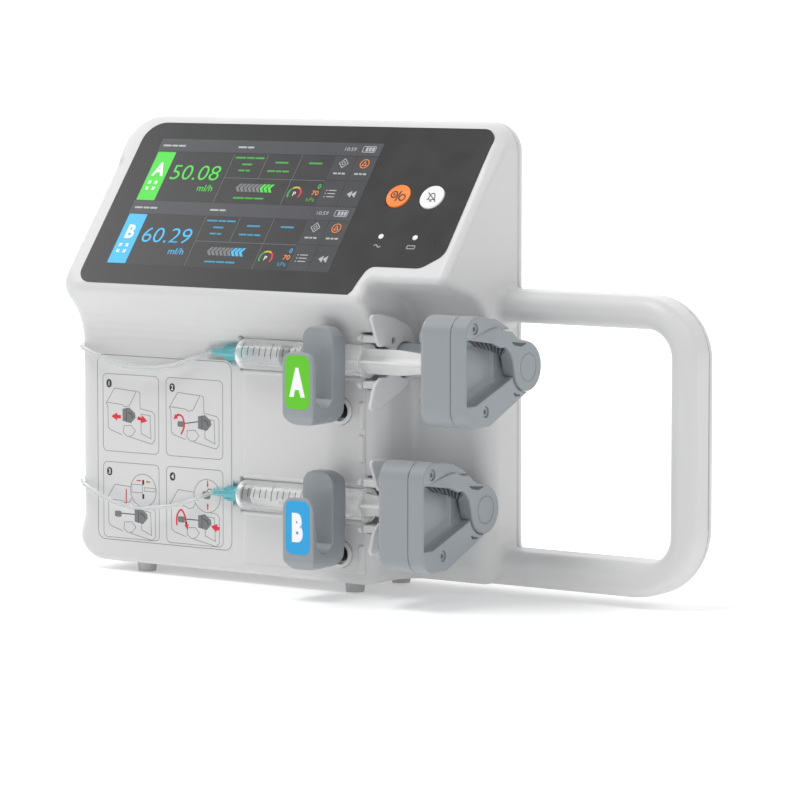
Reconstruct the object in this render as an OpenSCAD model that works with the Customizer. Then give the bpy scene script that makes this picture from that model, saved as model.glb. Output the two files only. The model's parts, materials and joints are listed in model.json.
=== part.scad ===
// Dual-channel desktop syringe pump with carry handle.
// Frame: origin under the centre of the bounding box, +Z up, front faces -Y, millimetres.

/* [Housing] */
// left face of the housing
body_left = -190.5; // [-210:-180]
// right face of the housing
body_right = 69.5; // [60:90]
// right wall of the front block, where the drive tubes come out
block_right = 20.5; // [10:40]
// lower front face
front_y = -14.5; // [-30:0]
// back wall of the open channel at the right
recess_y = 17.5; // [10:30]
// rear face
rear_y = 54.5; // [45:70]
// parting plane between front and rear shell
part_y = 46; // [36:52]
// underside of the housing
base_z = 5; // [3:10]
// top of the housing
top_z = 255; // [240:270]
// shell wall
wall = 3; // [2:4]

/* [Screen] */
// angle of the screen face from the horizontal
face_tilt = 52.28; // [40:80]
// width of the active area (7 inch panel)
lcd_w = 154.1; // [150:160]
// height of the active area
lcd_h = 86; // [80:92]
// thickness of the front glass
glass_t = 1.8; // [1:3]
// radius of the two keys
key_r = 7.6; // [6:10]
// key travel
key_travel = 0.8; // [0.5:1.5]

/* [Handle] */
// front face of the handle loop
handle_y = 26.5; // [20:35]
// outer end of the handle
handle_right = 190.5; // [170:210]
// outside height of the loop, bottom bar flush with the housing
handle_h = 160.5; // [140:180]
// bar width
handle_bar = 17.5; // [14:22]

/* [Channels] */
// height of the upper syringe axis
axis_a = 127.5; // [115:140]
// distance between the two channels
axis_gap = 78; // [70:90]
// syringe axis, front to back
syringe_y = -15.5; // [-20:-10]
// drive tube axis, front to back
tube_y = 4; // [0:8]
// drive tube radius
tube_r = 9; // [6:11]
// pusher position of the upper channel, left face of its head
head_a = 72.5; // [45:110]
// pusher position of the lower channel
head_b = 45.5; // [45:110]

/* [Syringe] */
// barrel radius
barrel_r = 8.5; // [7:15]
// barrel wall
barrel_t = 1.1; // [0.8:1.5]
// shoulder of the barrel
barrel_x = -72; // [-80:-60]
// left side of the finger flange
flange_x = 11.8; // [10:16]
// flange half height
flange_h = 14.8; // [12:20]

/* [Clamp] */
// centre of the barrel clamps
clamp_x = -5; // [-10:5]
// clamp width
clamp_w = 20.6; // [16:26]
// rear face of the clamps, just in front of the barrels
clamp_y = -24.3; // [-30:-20]
// drop of the clamp shaft below the syringe axis
clamp_drop = 28; // [24:34]
// clamp shaft radius
shaft_r = 4; // [3:6]

/* [Infusion line] */
// outside diameter of the line
line_d = 2.4; // [2:4]
// radius of the outermost turn of the coils behind the pump
coil_r = 17.7; // [14:30]
// turns beside each other in one level of a coil
coil_turns = 3.375; // [2:5]
// levels of a coil
coil_levels = 4; // [2:6]

/* [Hidden] */
$fn = 48;
axis_b = axis_a - axis_gap;
edge_x = body_left + 30;
edge_y = -24.5;
edge_z = 174.5;
key_u = 178.4;
key_v = 51.5;
key_gap = 22.1;
head_front_l = 20;
head_len = 30;
hub_r = 13;
plate_x = block_right + 2;
screw_y = 30;
// distance from the head's left face back to the seal's front face
rod_len = 115;

// ---------- helpers ----------
module xcyl(r, l, fn = 48) { rotate([0, 90, 0]) cylinder(r = r, h = l, $fn = fn); }
module ycyl(r, l, fn = 48) { rotate([-90, 0, 0]) cylinder(r = r, h = l, $fn = fn); }
module on_face() { translate([edge_x, edge_y, edge_z]) rotate([face_tilt, 0, 0]) children(); }
// extrude a [y, z] outline from x0 to x1
module along_x(x0, x1) {
  translate([x0, 0, 0]) rotate([90, 0, 90]) linear_extrude(x1 - x0) children();
}
// extrude an [x, z] outline from y0 to y1
module along_y(y0, y1) {
  translate([0, y1, 0]) rotate([90, 0, 0]) linear_extrude(y1 - y0) children();
}
module slab(x0, y0, z0, x1, y1, z1) { translate([x0, y0, z0]) cube([x1 - x0, y1 - y0, z1 - z0]); }
module rbox2(x0, y0, x1, y1, r) {
  hull() for (x = [x0 + r, x1 - r], y = [y0 + r, y1 - r]) translate([x, y]) circle(r, $fn = 32);
}

// ---------- housing outlines ----------
function face_y(v) = edge_y + v * cos(face_tilt);
function face_z(v) = edge_z + v * sin(face_tilt);

module side_left() {
  polygon([[front_y, base_z], [front_y, 129], [-16.5, 137.5], [-20.5, 146.5], [-26, 154.5], [-30.5, 157.5],
    [-33, 159.5], [face_y(-15), face_z(-15)], [face_y(96), face_z(96)], [face_y(101), top_z - 0.6],
    [45, top_z], [rear_y, top_z], [rear_y, base_z]]);
}
module side_right() {
  polygon([[recess_y, base_z], [recess_y, 139.5], [15.9, 150], [11.3, 157.8], [1, 163.8], [-14, 168],
    [-24.5, 171], [face_y(-1), face_z(-1)], [face_y(96), face_z(96)], [face_y(101), top_z - 0.6],
    [45, top_z], [rear_y, top_z], [rear_y, base_z]]);
}
module front_outline() {
  hull() {
    translate([body_left + 17, base_z + 17]) circle(17, $fn = 48);
    translate([body_right - 10, base_z + 10]) circle(10, $fn = 48);
    translate([body_left + 16, top_z - 16]) circle(16, $fn = 48);
    translate([body_right - 16, top_z - 16]) circle(16, $fn = 48);
  }
}
module handle_outline() {
  difference() {
    hull() {
      translate([handle_right - 34, base_z + handle_h - 34]) circle(34, $fn = 48);
      translate([handle_right - 38, base_z + 38]) circle(38, $fn = 48);
      translate([body_right - 12, base_z]) square([10, handle_h]);
    }
    rbox2(body_right + 0.01, base_z + 19.3, handle_right - 15.2, base_z + handle_h - handle_bar, 15);
    translate([body_right - 13, base_z + 19.3]) square([40, handle_h - handle_bar - 19.3]);
  }
}
// solid without hollows: both shells together
module housing_solid() {
  intersection() {
    union() {
      along_x(body_left, block_right) side_left();
      along_x(block_right - 1, body_right) side_right();
    }
    along_y(-60, 60) front_outline();
  }
  along_y(handle_y, rear_y) handle_outline();
}
module corner_cut(x, y, z0, z1, sx, sy, r) {
  translate([x, y, z0]) linear_extrude(z1 - z0) difference() {
    scale([sx, sy]) translate([-1, -1]) square(r + 1);
    scale([sx, sy]) translate([r, r]) circle(r, $fn = 48);
  }
}
module housing_outside() {
  difference() {
    housing_solid();
    corner_cut(body_left, front_y, 0, 129, 1, 1, 12);
    corner_cut(block_right, front_y, 0, 129, -1, 1, 12);
    // finger grip in the slanted left edge of the screen housing
    on_face() hull() {
      translate([-31, 25, 14]) sphere(17, $fn = 32);
      translate([-31, 63, 14]) sphere(17, $fn = 32);
    }
  }
}
module housing_inside() {
  intersection() {
    union() {
      along_x(body_left + wall, block_right - wall) offset(delta = -wall) side_left();
      along_x(block_right - wall - 1, body_right - wall) offset(delta = -wall) side_right();
    }
    along_y(-60, 60) offset(delta = -wall) front_outline();
    difference() {
      translate([-250, -80, -20]) cube([500, 200, 320]);
      corner_cut(body_left + wall, front_y + wall, 0, 132, 1, 1, 9);
      corner_cut(block_right - wall, front_y + wall, 0, 132, -1, 1, 9);
    }
  }
}
module handle_inside() {
  along_y(handle_y + wall, rear_y - wall) intersection() {
    offset(delta = -wall) handle_outline();
    translate([body_right + 4, 0]) square([200, 300]);
  }
}

// ---------- screen ----------
module glass_outline(grow = 0) {
  offset(delta = grow) difference() {
    union() {
      rbox2(-15, -13, 224, 97.3, 9);
      translate([120, -13]) square([54, 30]);
    }
    // step around the open channel
    difference() {
      translate([174, -20]) square([80, 25.6]);
      hull() {
        translate([215, 14.6]) circle(9, $fn = 32);
        translate([200, 20]) square(4);
      }
    }
  }
  intersection() {
    offset(delta = grow) translate([173.9, -8]) square([14, 13.8]);
    difference() {
      translate([170, -9]) square([20, 20]);
      translate([187, -7.4]) circle(13 - grow, $fn = 48);
    }
  }
}
module key_hole(u, r) { translate([u, key_v]) circle(r, $fn = 48); }

module screen_glass() {
  color([0.12, 0.12, 0.13]) on_face() translate([0, 0, -glass_t]) linear_extrude(glass_t - 0.1) difference() {
    glass_outline();
    key_hole(key_u, key_r + 0.3);
    key_hole(key_u + key_gap, key_r + 0.3);
    for (u = [key_u, key_u + key_gap + 0.2]) translate([u, 25]) circle(1.7, $fn = 24);
  }
}
module lcd_module() {
  color([0.2, 0.25, 0.35]) on_face() {
    translate([-2, -2, -glass_t - 2.6]) cube([lcd_w + 4, lcd_h + 4, 2.5]);
    difference() {
      translate([-5, -5, -glass_t - 6.6]) cube([lcd_w + 10, lcd_h + 10, 4.05]);
      translate([6, 8, -glass_t - 7]) cube([60, 30, 1.4]);
    }
  }
}
module key(u) {
  on_face() difference() {
    union() {
      translate([u, key_v, -4.6]) cylinder(r = key_r, h = 5.1);
      translate([u, key_v, -4.6]) cylinder(r = key_r + 1.2, h = 1.6);
      translate([u, key_v, -8.4]) cylinder(r = 1.6, h = 4);
    }
    translate([u, key_v, 0.3]) cylinder(r = key_r - 1.4, h = 1);
  }
}
module button_power() { color([1, 0.54, 0.17]) key(key_u); }
module button_mute() { color([0.96, 0.96, 0.96]) key(key_u + key_gap); }
module indicators() {
  color([0.95, 0.97, 1]) on_face() for (u = [key_u, key_u + key_gap + 0.2]) {
    translate([u, 25, -5.6]) cylinder(r = 1.55, h = 5.5, $fn = 24);
    translate([u, 25, -6.4]) cylinder(r = 2.4, h = 1, $fn = 24);
  }
}
module main_board() {
  color([0.1, 0.4, 0.2]) on_face() {
    difference() {
      union() {
        translate([4, 2, -13.6]) cube([166, 84, 1.6]);
        translate([169, 20, -13.6]) cube([41, 66, 1.6]);
      }
      for (u = [9, 165], v = [7, 81]) translate([u, v, -14]) cylinder(r = 1.6, h = 3, $fn = 24);
    }
    // switches under the keys and sockets for display and drives
    for (u = [key_u, key_u + key_gap]) translate([u - 3, key_v - 3, -12.1]) cube([6, 6, 2.4]);
    for (u = [key_u, key_u + key_gap + 0.2]) translate([u - 2, 23, -12.1]) cube([4, 4, 5]);
    translate([30, 40, -12.1]) cube([34, 12, 2.6]);
    for (u = [20, 60, 100, 140]) translate([u, 8, -18.5]) cube([22, 8, 5]);
    translate([100, 40, -16.5]) cube([28, 28, 3]);
    translate([50, 50, -15.8]) cube([16, 16, 2.3]);
  }
}

// ---------- shells ----------
// hollow in the front face that the luer and the start of the line lie in
module luer_scoop(z) { translate([luer_end - 10, syringe_y, z]) xcyl(5.2, 30); }
// [x, z, front end of the post]
screw_at = [[-176, 24, -13], [-176, 230, 18], [55, 235, 22], [-60, 20, -13]];
module screw_posts() {
  for (p = screw_at) translate([p[0], p[2], p[1]]) ycyl(4.5, 60 - p[2], 32);
}
module screw_line(r, y0, y1) {
  for (p = screw_at) translate([p[0], y0, p[1]]) ycyl(r, y1 - y0, 24);
}
module front_shell() {
  color([0.93, 0.94, 0.94]) difference() {
    housing_outside();
    difference() {
      housing_inside();
      // ledge that carries the glass
      on_face() translate([-22, -20, -4.2]) cube([252, 124, 6]);
      screw_posts();
      // linings behind the flange slots and the luer scoops
      for (z = [axis_a, axis_b]) {
        slab(flange_x - 2.5, -12, z - flange_h - 2.4, block_right - 1, syringe_y + 14.5, z + flange_h + 2.4);
        slab(luer_end - 14, -12, z - 11, barrel_x + 3, syringe_y + 10, z + 11);
      }
    }
    handle_inside();
    slab(-250, part_y, -10, 250, 80, 300);
    // glass seat, display window, key and lamp openings
    on_face() translate([0, 0, -glass_t - 0.1]) linear_extrude(20) glass_outline(0.3);
    on_face() translate([-6, -6, -20]) cube([lcd_w + 12, lcd_h + 12, 20]);
    on_face() for (u = [key_u, key_u + key_gap]) translate([u, key_v, -12]) cylinder(r = key_r + 1.5, h = 12);
    on_face() for (u = [key_u, key_u + key_gap + 0.2]) translate([u, 25, -12]) cylinder(r = 2.7, h = 12, $fn = 24);
    // seat of the syringe panel
    slab(-71.5, front_y - 5, base_z + 6, block_right - 9, front_y + 1.6, 142);
    // seat of the instruction label
    slab(-176.5, front_y - 1, 16, -78.5, front_y + 0.3, 123.5);
    for (z = [axis_a, axis_b]) {
      // drive tube, flange slot, barrel trough and clamp shaft
      translate([flange_x - 4, tube_y, z]) xcyl(tube_r + 0.08, 30);
      slab(flange_x - 0.4, -40, z - flange_h - 0.8, block_right + 1, syringe_y + 12, z + flange_h + 0.8);
      translate([-71.5, syringe_y, z]) xcyl(barrel_r + 2.9, flange_x + 71.5 - 2.6);
      translate([barrel_x - 1.5, syringe_y, z]) xcyl(barrel_r + 0.9, flange_x - barrel_x + 2);
      translate([clamp_x, -40, z - clamp_drop]) ycyl(7.6, 40);
      translate([block_right - 8, 2, z + 18.4]) xcyl(1.6, 20, 24);
      luer_scoop(z);
    }
    screw_line(1.7, 30, 60);
  }
}
module rear_shell() {
  color([0.93, 0.94, 0.94]) difference() {
    housing_outside();
    difference() {
      housing_inside();
      screw_posts();
    }
    handle_inside();
    slab(-250, -80, -10, 250, part_y + 0.05, 300);
    screw_line(2.1, 30, 60);
    screw_line(3.6, rear_y - 2.6, 60);
    // mains inlet and vents
    slab(-150, 40, 20, -122.4, 60, 40);
    for (i = [0:6]) slab(-90 + i * 12, 40, 150, -86 + i * 12, 60, 185);
  }
}
module shell_screws() {
  color([0.6, 0.6, 0.62]) for (p = screw_at) translate([p[0], 0, p[1]])
    difference() {
      union() {
        translate([0, 33, 0]) ycyl(1.65, rear_y - 2.6 - 33, 24);
        translate([0, rear_y - 2.6, 0]) ycyl(3.4, 1.9, 24);
      }
      translate([0, rear_y - 1.6, 0]) ycyl(1.6, 3, 6);
    }
}
module syringe_panel() {
  x0 = -71.3;
  x1 = block_right - 9.2;
  color([0.93, 0.94, 0.94]) difference() {
    union() {
      slab(x0, front_y - 0.3, base_z + 6.2, x1, front_y + 1.5, 141.8);
      for (z = [axis_a, axis_b]) {
        // trough behind each barrel and the shelf under it
        translate([x0, syringe_y, z]) xcyl(barrel_r + 1.9, flange_x - 3 - x0);
      }
      // guide ribs beside the flange slots
      for (z = [axis_b - 30, axis_b + 30, axis_a - 30]) along_y(front_y - 1.6, front_y)
        rbox2(7.4, z - 7.5, 10.8, z + 7.5, 1.6);
    }
    for (z = [axis_a, axis_b]) {
      translate([-80, syringe_y, z]) xcyl(barrel_r + 0.25, 110);
      slab(-80, -40, z - 7, 30, syringe_y - 0.1, z + 20);
      slab(-80, -40, z - 20, 30, clamp_y + 0.6, z + 20);
      translate([clamp_x, -40, z - clamp_drop]) ycyl(7.5, 60);
    }
  }
}
module instruction_label() {
  color([0.97, 0.97, 0.97]) difference() {
    along_y(front_y, front_y + 0.25) rbox2(-176, 16.5, -79, 123, 5);
    for (z = [axis_a, axis_b]) luer_scoop(z);
  }
}
module feet() {
  color([0.18, 0.18, 0.19]) for (x = [-148, -3], y = [-4.5, 39]) translate([x, y, 0])
    cylinder(r1 = 5, r2 = 5.6, h = base_z, $fn = 32);
}

// ---------- inner units ----------
module battery() {
  color([0.2, 0.3, 0.6]) {
    slab(-105, 0, 141, -15, 40, 160);
    for (i = [0:3]) slab(-104 + i * 22, 2, 159.9, -84 + i * 22, 38, 161);
    slab(-15.1, 14, 146, -9, 26, 154);
  }
}
module power_supply() {
  color([0.15, 0.45, 0.25]) {
    slab(-112, 4, 70, -24, 44, 71.6);
    slab(-108, 8, 71.5, -78, 40, 94);
    slab(-72, 8, 71.5, -52, 24, 88);
    for (x = [-44, -32]) translate([x, 30, 71.5]) cylinder(r = 5, h = 22, $fn = 32);
    slab(-48, 8, 71.5, -28, 20, 82);
  }
}
module ac_inlet() {
  color([0.1, 0.1, 0.11]) difference() {
    union() {
      slab(-149.8, 42, 20.2, -122.6, rear_y - 0.2, 39.8);
      slab(-154, 49.8, 17.5, -118.4, 51.4, 42.5);
    }
    slab(-147.6, rear_y - 8, 22.4, -124.8, rear_y + 1, 37.6);
  }
  color([0.8, 0.8, 0.8]) for (x = [-142, -136.2, -130.4]) slab(x - 1, rear_y - 8.1, 27, x + 1, rear_y - 2, 31);
}
module bracket(z) {
  difference() {
    union() {
      slab(-168, 6, z - 20, -164, 44, z + 34);
      slab(6, -4, z - 16, 10, 44, z + 16);
      slab(10, tube_y - 13, z - 13, block_right - wall - 0.1, tube_y + 13, z + 13);
    }
    translate([-170, screw_y, z]) xcyl(4.05, 200);
    translate([0, tube_y, z]) xcyl(tube_r + 0.06, 40);
    translate([-170, screw_y, z + 17]) xcyl(3, 8);
    slab(5, -40, z - 18, 30, syringe_y + 14.7, z + 18);
  }
}
module drive_brackets() { color([0.75, 0.76, 0.78]) for (z = [axis_a, axis_b]) bracket(z); }
module clamp_rings() {
  color([0.9, 0.91, 0.92]) for (z = [axis_a, axis_b]) translate([clamp_x, 0, z - clamp_drop]) difference() {
    union() {
      translate([0, front_y - 1.8, 0]) ycyl(7.3, 5.5);
      translate([0, front_y + wall + 0.1, 0]) ycyl(9.4, 4);
    }
    translate([0, front_y - 3, 0]) ycyl(shaft_r + 0.06, 30);
    translate([0, front_y - 3, 0]) ycyl(5.4, 3.2);
  }
}
module belt(z) {
  translate([-175, 0, 0]) difference() {
    hull() {
      translate([0, screw_y, z]) xcyl(9.4, 4, 48);
      translate([0, screw_y, z + 17]) xcyl(5.4, 4, 48);
    }
    hull() {
      translate([-1, screw_y, z]) xcyl(8.05, 6, 48);
      translate([-1, screw_y, z + 17]) xcyl(4.05, 6, 48);
    }
  }
}
module drive_belts() { color([0.1, 0.1, 0.1]) for (z = [axis_a, axis_b]) belt(z); }

// ---------- one channel ----------
module lead_screw(z) {
  color([0.72, 0.73, 0.75]) {
    translate([-176, screw_y, z]) xcyl(4, 190);
    translate([-175.5, screw_y, z]) xcyl(8, 5);
    for (i = [0:15]) translate([-140 + i * 9, screw_y, z]) xcyl(4.35, 3);
  }
}
module motor_block(z) {
  // small motor behind the left bracket; its shaft runs through the bracket
  color([0.25, 0.25, 0.27]) difference() {
    union() {
      along_x(-163.9, -135) rbox2(screw_y - 12, z + 5, screw_y + 12, z + 29, 3);
      translate([-135.1, screw_y, z + 17]) xcyl(7, 3);
    }
    translate([-165, screw_y, z + 17]) xcyl(2.06, 40);
  }
}
module motor_pulley(z) {
  color([0.78, 0.78, 0.8]) {
    translate([-177, screw_y, z + 17]) xcyl(2, 40);
    translate([-175.5, screw_y, z + 17]) xcyl(4, 5);
  }
}
module carriage(x, z) {
  color([0.35, 0.37, 0.4]) difference() {
    slab(x, tube_y - 6, z - 12, x + 18, screw_y + 9, z + 4);
    translate([x - 1, tube_y, z]) xcyl(tube_r + 0.05, 20);
    // half nut rides over the lead screw
    translate([x - 1, screw_y, z]) xcyl(4.6, 20);
    slab(x - 1, screw_y - 4.6, z, x + 19, screw_y + 4.6, z + 6);
  }
}
module drive_tube(x, z) {
  color([0.32, 0.36, 0.4]) difference() {
    translate([x - 173, tube_y, z]) xcyl(tube_r, 173 + 24);
    translate([x - 174, tube_y, z]) xcyl(tube_r - 1.6, 173 + 20);
  }
}
module head_outline() {
  hull() {
    translate([-42.5, 19.5]) circle(10, $fn = 48);
    translate([-42.5, -19.5]) circle(10, $fn = 48);
    translate([-27, 19.5]) circle(8, $fn = 32);
    translate([-31, -24]) circle(5, $fn = 32);
    translate([tube_y, 0]) circle(hub_r, $fn = 48);
  }
}
module head_front(x, z) {
  color([0.545, 0.565, 0.59]) difference() {
    translate([0, 0, z]) along_x(x, x + head_front_l) head_outline();
    translate([x - 1, tube_y, z]) xcyl(tube_r + 0.04, 40);
    // recess for the thumb rest and pivots of the claws
    translate([x - 0.1, syringe_y, z]) xcyl(11, 0.35);
    for (s = [-1, 1]) translate([x - 1, -40, z + s * 17]) xcyl(2.06, 9, 32);
    for (p = [[-34, -21], [-44, 23]]) translate([x + 4, p[0], z + p[1]]) xcyl(1.2, 30, 24);
  }
}
module head_rear(x, z) {
  x0 = x + head_front_l + 0.15;
  x1 = x + head_len;
  color([0.545, 0.565, 0.59]) difference() {
    translate([0, 0, z]) along_x(x0, x1) head_outline();
    // finger pocket between front edge, lower bar and hub
    translate([0, 0, z]) along_x(x0 + 1.6, x1 + 1) difference() {
      hull() {
        translate([-51, 17]) circle(0.5, $fn = 12);
        translate([-51, -17]) circle(0.5, $fn = 12);
        translate([-43, -17]) circle(0.5, $fn = 12);
        translate([-9, -5]) circle(0.5, $fn = 12);
        translate([3, 13]) circle(0.5, $fn = 12);
        translate([3, 24]) circle(0.5, $fn = 12);
        translate([-40, 29]) circle(0.5, $fn = 12);
      }
      hull() {
        translate([-50, 34]) circle(2, $fn = 12);
        translate([-46, 24.5]) circle(2, $fn = 12);
        translate([4, 24]) circle(2, $fn = 12);
      }
    }
    translate([x0 - 1, tube_y, z]) xcyl(tube_r + 0.04, 5.2);
    // round seat of the clutch lever
    translate([x1 - 4, tube_y, z]) xcyl(hub_r + 0.3, 6);
    translate([x0 - 1, tube_y, z]) xcyl(3.56, 20, 32);
    for (p = [[-34, -21], [-44, 23]]) {
      translate([x0 - 1, p[0], z + p[1]]) xcyl(1.6, 30, 24);
      translate([x1 - 2.5, p[0], z + p[1]]) xcyl(2.9, 3, 24);
    }
  }
}
module head_screws(x, z) {
  color([0.5, 0.5, 0.52]) for (p = [[-34, -21], [-44, 23]]) difference() {
    union() {
      translate([x + 8, p[0], z + p[1]]) xcyl(1.15, head_len - 10.2, 24);
      translate([x + head_len - 2.4, p[0], z + p[1]]) xcyl(2.6, 1.8, 24);
    }
    translate([x + head_len - 1.8, p[0], z + p[1]]) xcyl(1.3, 3, 6);
  }
}
module clutch_lever(x, z) {
  x1 = x + head_len;
  color([0.5, 0.52, 0.55]) difference() {
    union() {
      translate([x1 - 3.9, tube_y, z]) xcyl(hub_r, 5.4);
      translate([x1 - 5.5, tube_y, z]) xcyl(3.5, 2, 32);
      // beak that reaches forward over the finger pocket
      translate([0, 0, z]) along_x(x1 - 3.9, x1 + 1.5) {
        hull() {
          translate([tube_y - 3, 4]) circle(7, $fn = 32);
          translate([-13, 15]) circle(5, $fn = 32);
        }
        hull() {
          translate([-13, 15]) circle(5, $fn = 32);
          translate([-28, 19]) circle(2.6, $fn = 24);
        }
        polygon([[-28, 21.6], [-47, 17.6], [-47, 16.6], [-28.8, 16.4]]);
      }
    }
    translate([x1 + 0.7, tube_y, z]) xcyl(8, 2);
  }
}
module claw(x, z, s) {
  color([0.42, 0.44, 0.47]) {
    translate([x - 5.6, -40, z + s * 17]) xcyl(2, 13, 32);
    translate([0, 0, z]) along_x(x - 5.6, x - 2.7) {
      hull() {
        translate([-40, s * 17]) circle(4, $fn = 32);
        translate([-27, s * 13.4]) circle(3, $fn = 24);
      }
      hull() {
        translate([-27, s * 13.4]) circle(3, $fn = 24);
        translate([-15.5, s * 8.7]) circle(1.8, $fn = 24);
      }
    }
  }
}
module barrel(z) {
  color([0.9, 0.95, 0.97, 0.35]) translate([0, syringe_y, z]) difference() {
    union() {
      translate([barrel_x + 2, 0, 0]) xcyl(barrel_r, flange_x - barrel_x - 2 + 2);
      translate([barrel_x, 0, 0]) rotate([0, 90, 0]) cylinder(r1 = 6, r2 = barrel_r, h = 2.01);
      translate([barrel_x - 10, 0, 0]) xcyl(2.1, 10.1, 32);
      // finger flange
      intersection() {
        slab(flange_x, -8, -flange_h, flange_x + 2, 8, flange_h);
        translate([flange_x - 1, 0, 0]) xcyl(flange_h, 4);
      }
    }
    translate([barrel_x + 1.4, 0, 0]) xcyl(barrel_r - barrel_t, 120);
    translate([barrel_x - 12, 0, 0]) xcyl(1, 14, 24);
  }
}
module luer(z) {
  color([0.4, 0.8, 0.84, 0.7]) translate([0, syringe_y, z]) difference() {
    union() {
      translate([barrel_x - 11.6, 0, 0]) xcyl(3.6, 9, 32);
      translate([barrel_x - 3.6, 0, 0]) xcyl(4.4, 2.4, 32);
      translate([barrel_x - 19.5, 0, 0]) xcyl(1.9, 9.2, 32);
      for (a = [0:60:300]) rotate([a, 0, 0]) slab(barrel_x - 10, 3.4, -0.4, barrel_x - 4, 4.1, 0.4);
    }
    translate([barrel_x - 10.05, 0, 0]) xcyl(2.13, 12, 32);
    translate([barrel_x - 20, 0, 0]) xcyl(line_d / 2 + 0.02, 6, 24);
    translate([barrel_x - 20, 0, 0]) xcyl(0.8, 12, 24);
  }
}
module plunger(x, z) {
  color([0.96, 0.96, 0.96]) translate([0, syringe_y, z]) {
    for (a = [0, 90]) rotate([a, 0, 0]) slab(x - rod_len + 9, -6.6, -0.8, x - 2, 6.6, 0.8);
    translate([x - rod_len + 8, 0, 0]) xcyl(6.6, 1.6);
    translate([x - rod_len + 4, 0, 0]) xcyl(3, 4.1, 32);
    translate([x - rod_len + 27, 0, 0]) xcyl(6.6, 1.2);
    translate([x - 2.4, 0, 0]) xcyl(9.4, 2.2);
  }
}
module seal(x, z) {
  color([0.22, 0.23, 0.24]) translate([x - rod_len, syringe_y, z]) difference() {
    rotate([0, 90, 0]) rotate_extrude() polygon([[0, 0], [5.2, 0.6], [7.36, 1.6], [7.36, 2.8], [6.8, 3.2],
      [6.8, 5.2], [7.36, 5.6], [7.36, 7.2], [6.6, 7.9], [0, 7.9]]);
    translate([3.9, 0, 0]) xcyl(3.04, 6, 32);
  }
}
// [y, z] side profile of the barrel clamp, y from its rear face
module clamp_profile() {
  polygon([[0, 15], [-4, 19.7], [-12.2, 19.7], [-12.2, -33.4], [-4.5, -33.4], [-1.8, -28], [0, -10]]);
  polygon([[-12, -20], [-26.6, -20], [-26.8, 5.2], [-28.4, 6.8], [-30.2, 5.8], [-29.8, -28], [-27, -33.4],
    [-12, -33.4]]);
}
module clamp(z) {
  color([0.545, 0.565, 0.59]) difference() {
    intersection() {
      translate([0, clamp_y, z]) along_x(clamp_x - clamp_w / 2, clamp_x + clamp_w / 2) difference() {
        clamp_profile();
        hull() {
          translate([-19.5, -16.8]) circle(7, $fn = 48);
          translate([-19.5, 4]) circle(7, $fn = 48);
          translate([-26.5, 30]) square([14, 1]);
        }
      }
      translate([0, 0, z]) along_y(-60, 0) rbox2(clamp_x - clamp_w / 2, -33.4, clamp_x + clamp_w / 2, 19.7, 8);
      union() {
        translate([0, 0, z]) along_y(-60, 0) rbox2(clamp_x - clamp_w / 2, -33.4, clamp_x + clamp_w / 2, 6.8, 7);
        slab(-40, clamp_y - 14, z - 60, 40, 0, z + 60);
      }
    }
    translate([clamp_x, clamp_y - 12, z - clamp_drop]) ycyl(shaft_r + 0.02, 20);
    // label seat
    translate([0, 0, z]) along_y(-60, clamp_y - 29) rbox2(clamp_x - 8.4, -24.4, clamp_x + 8.4, 5.2, 4.4);
  }
}
module clamp_label(z, tint) {
  color(tint) translate([0, 0, z]) along_y(clamp_y - 29.5, clamp_y - 29.02)
    rbox2(clamp_x - 8.1, -24.1, clamp_x + 8.1, 4.9, 4.2);
}
module clamp_shaft(z) {
  color([0.25, 0.26, 0.28]) translate([clamp_x, 0, z - clamp_drop]) {
    translate([0, clamp_y - 11.5, 0]) ycyl(shaft_r, 11.5 + 46);
    translate([0, 18.7, 0]) ycyl(6.5, 3);
  }
}
module flange_plate(z) {
  color([0.9, 0.91, 0.92]) difference() {
    union() {
      translate([0, 0, z]) along_x(plate_x, plate_x + 2.2) difference() {
        polygon([[-28.5, 20.4], [-28.5, 25.4], [-27.5, 26.2], [-18, 25.9], [-6, 23.6], [6.3, 19], [10.6, 15.4],
          [13.2, 10.5], [13.8, 0], [10.1, -11.1], [3.1, -15.7], [-8, -20.6], [-18.7, -24.9], [-26.1, -25.3],
          [-28.6, -23.3], [-24.2, -10.7], [-20, -9], [-20, 8.6], [-22, 10.4]]);
        hull() {
          translate([syringe_y, 0]) circle(8.2, $fn = 48);
          translate([-40, 0]) circle(8.2, $fn = 48);
        }
        translate([tube_y, 0]) circle(tube_r + 0.6, $fn = 48);
        translate([-6.9, 11.1]) circle(1.9, $fn = 24);
      }
      // pads that press the finger flange
      for (s = [-1, 1]) slab(flange_x + 2.03, -21, z + s * 12.4 - 2, plate_x + 0.1, -10, z + s * 12.4 + 2);
      translate([block_right - 9, 2, z + 18.4]) xcyl(1.5, 11.1, 24);
    }
  }
}

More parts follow.
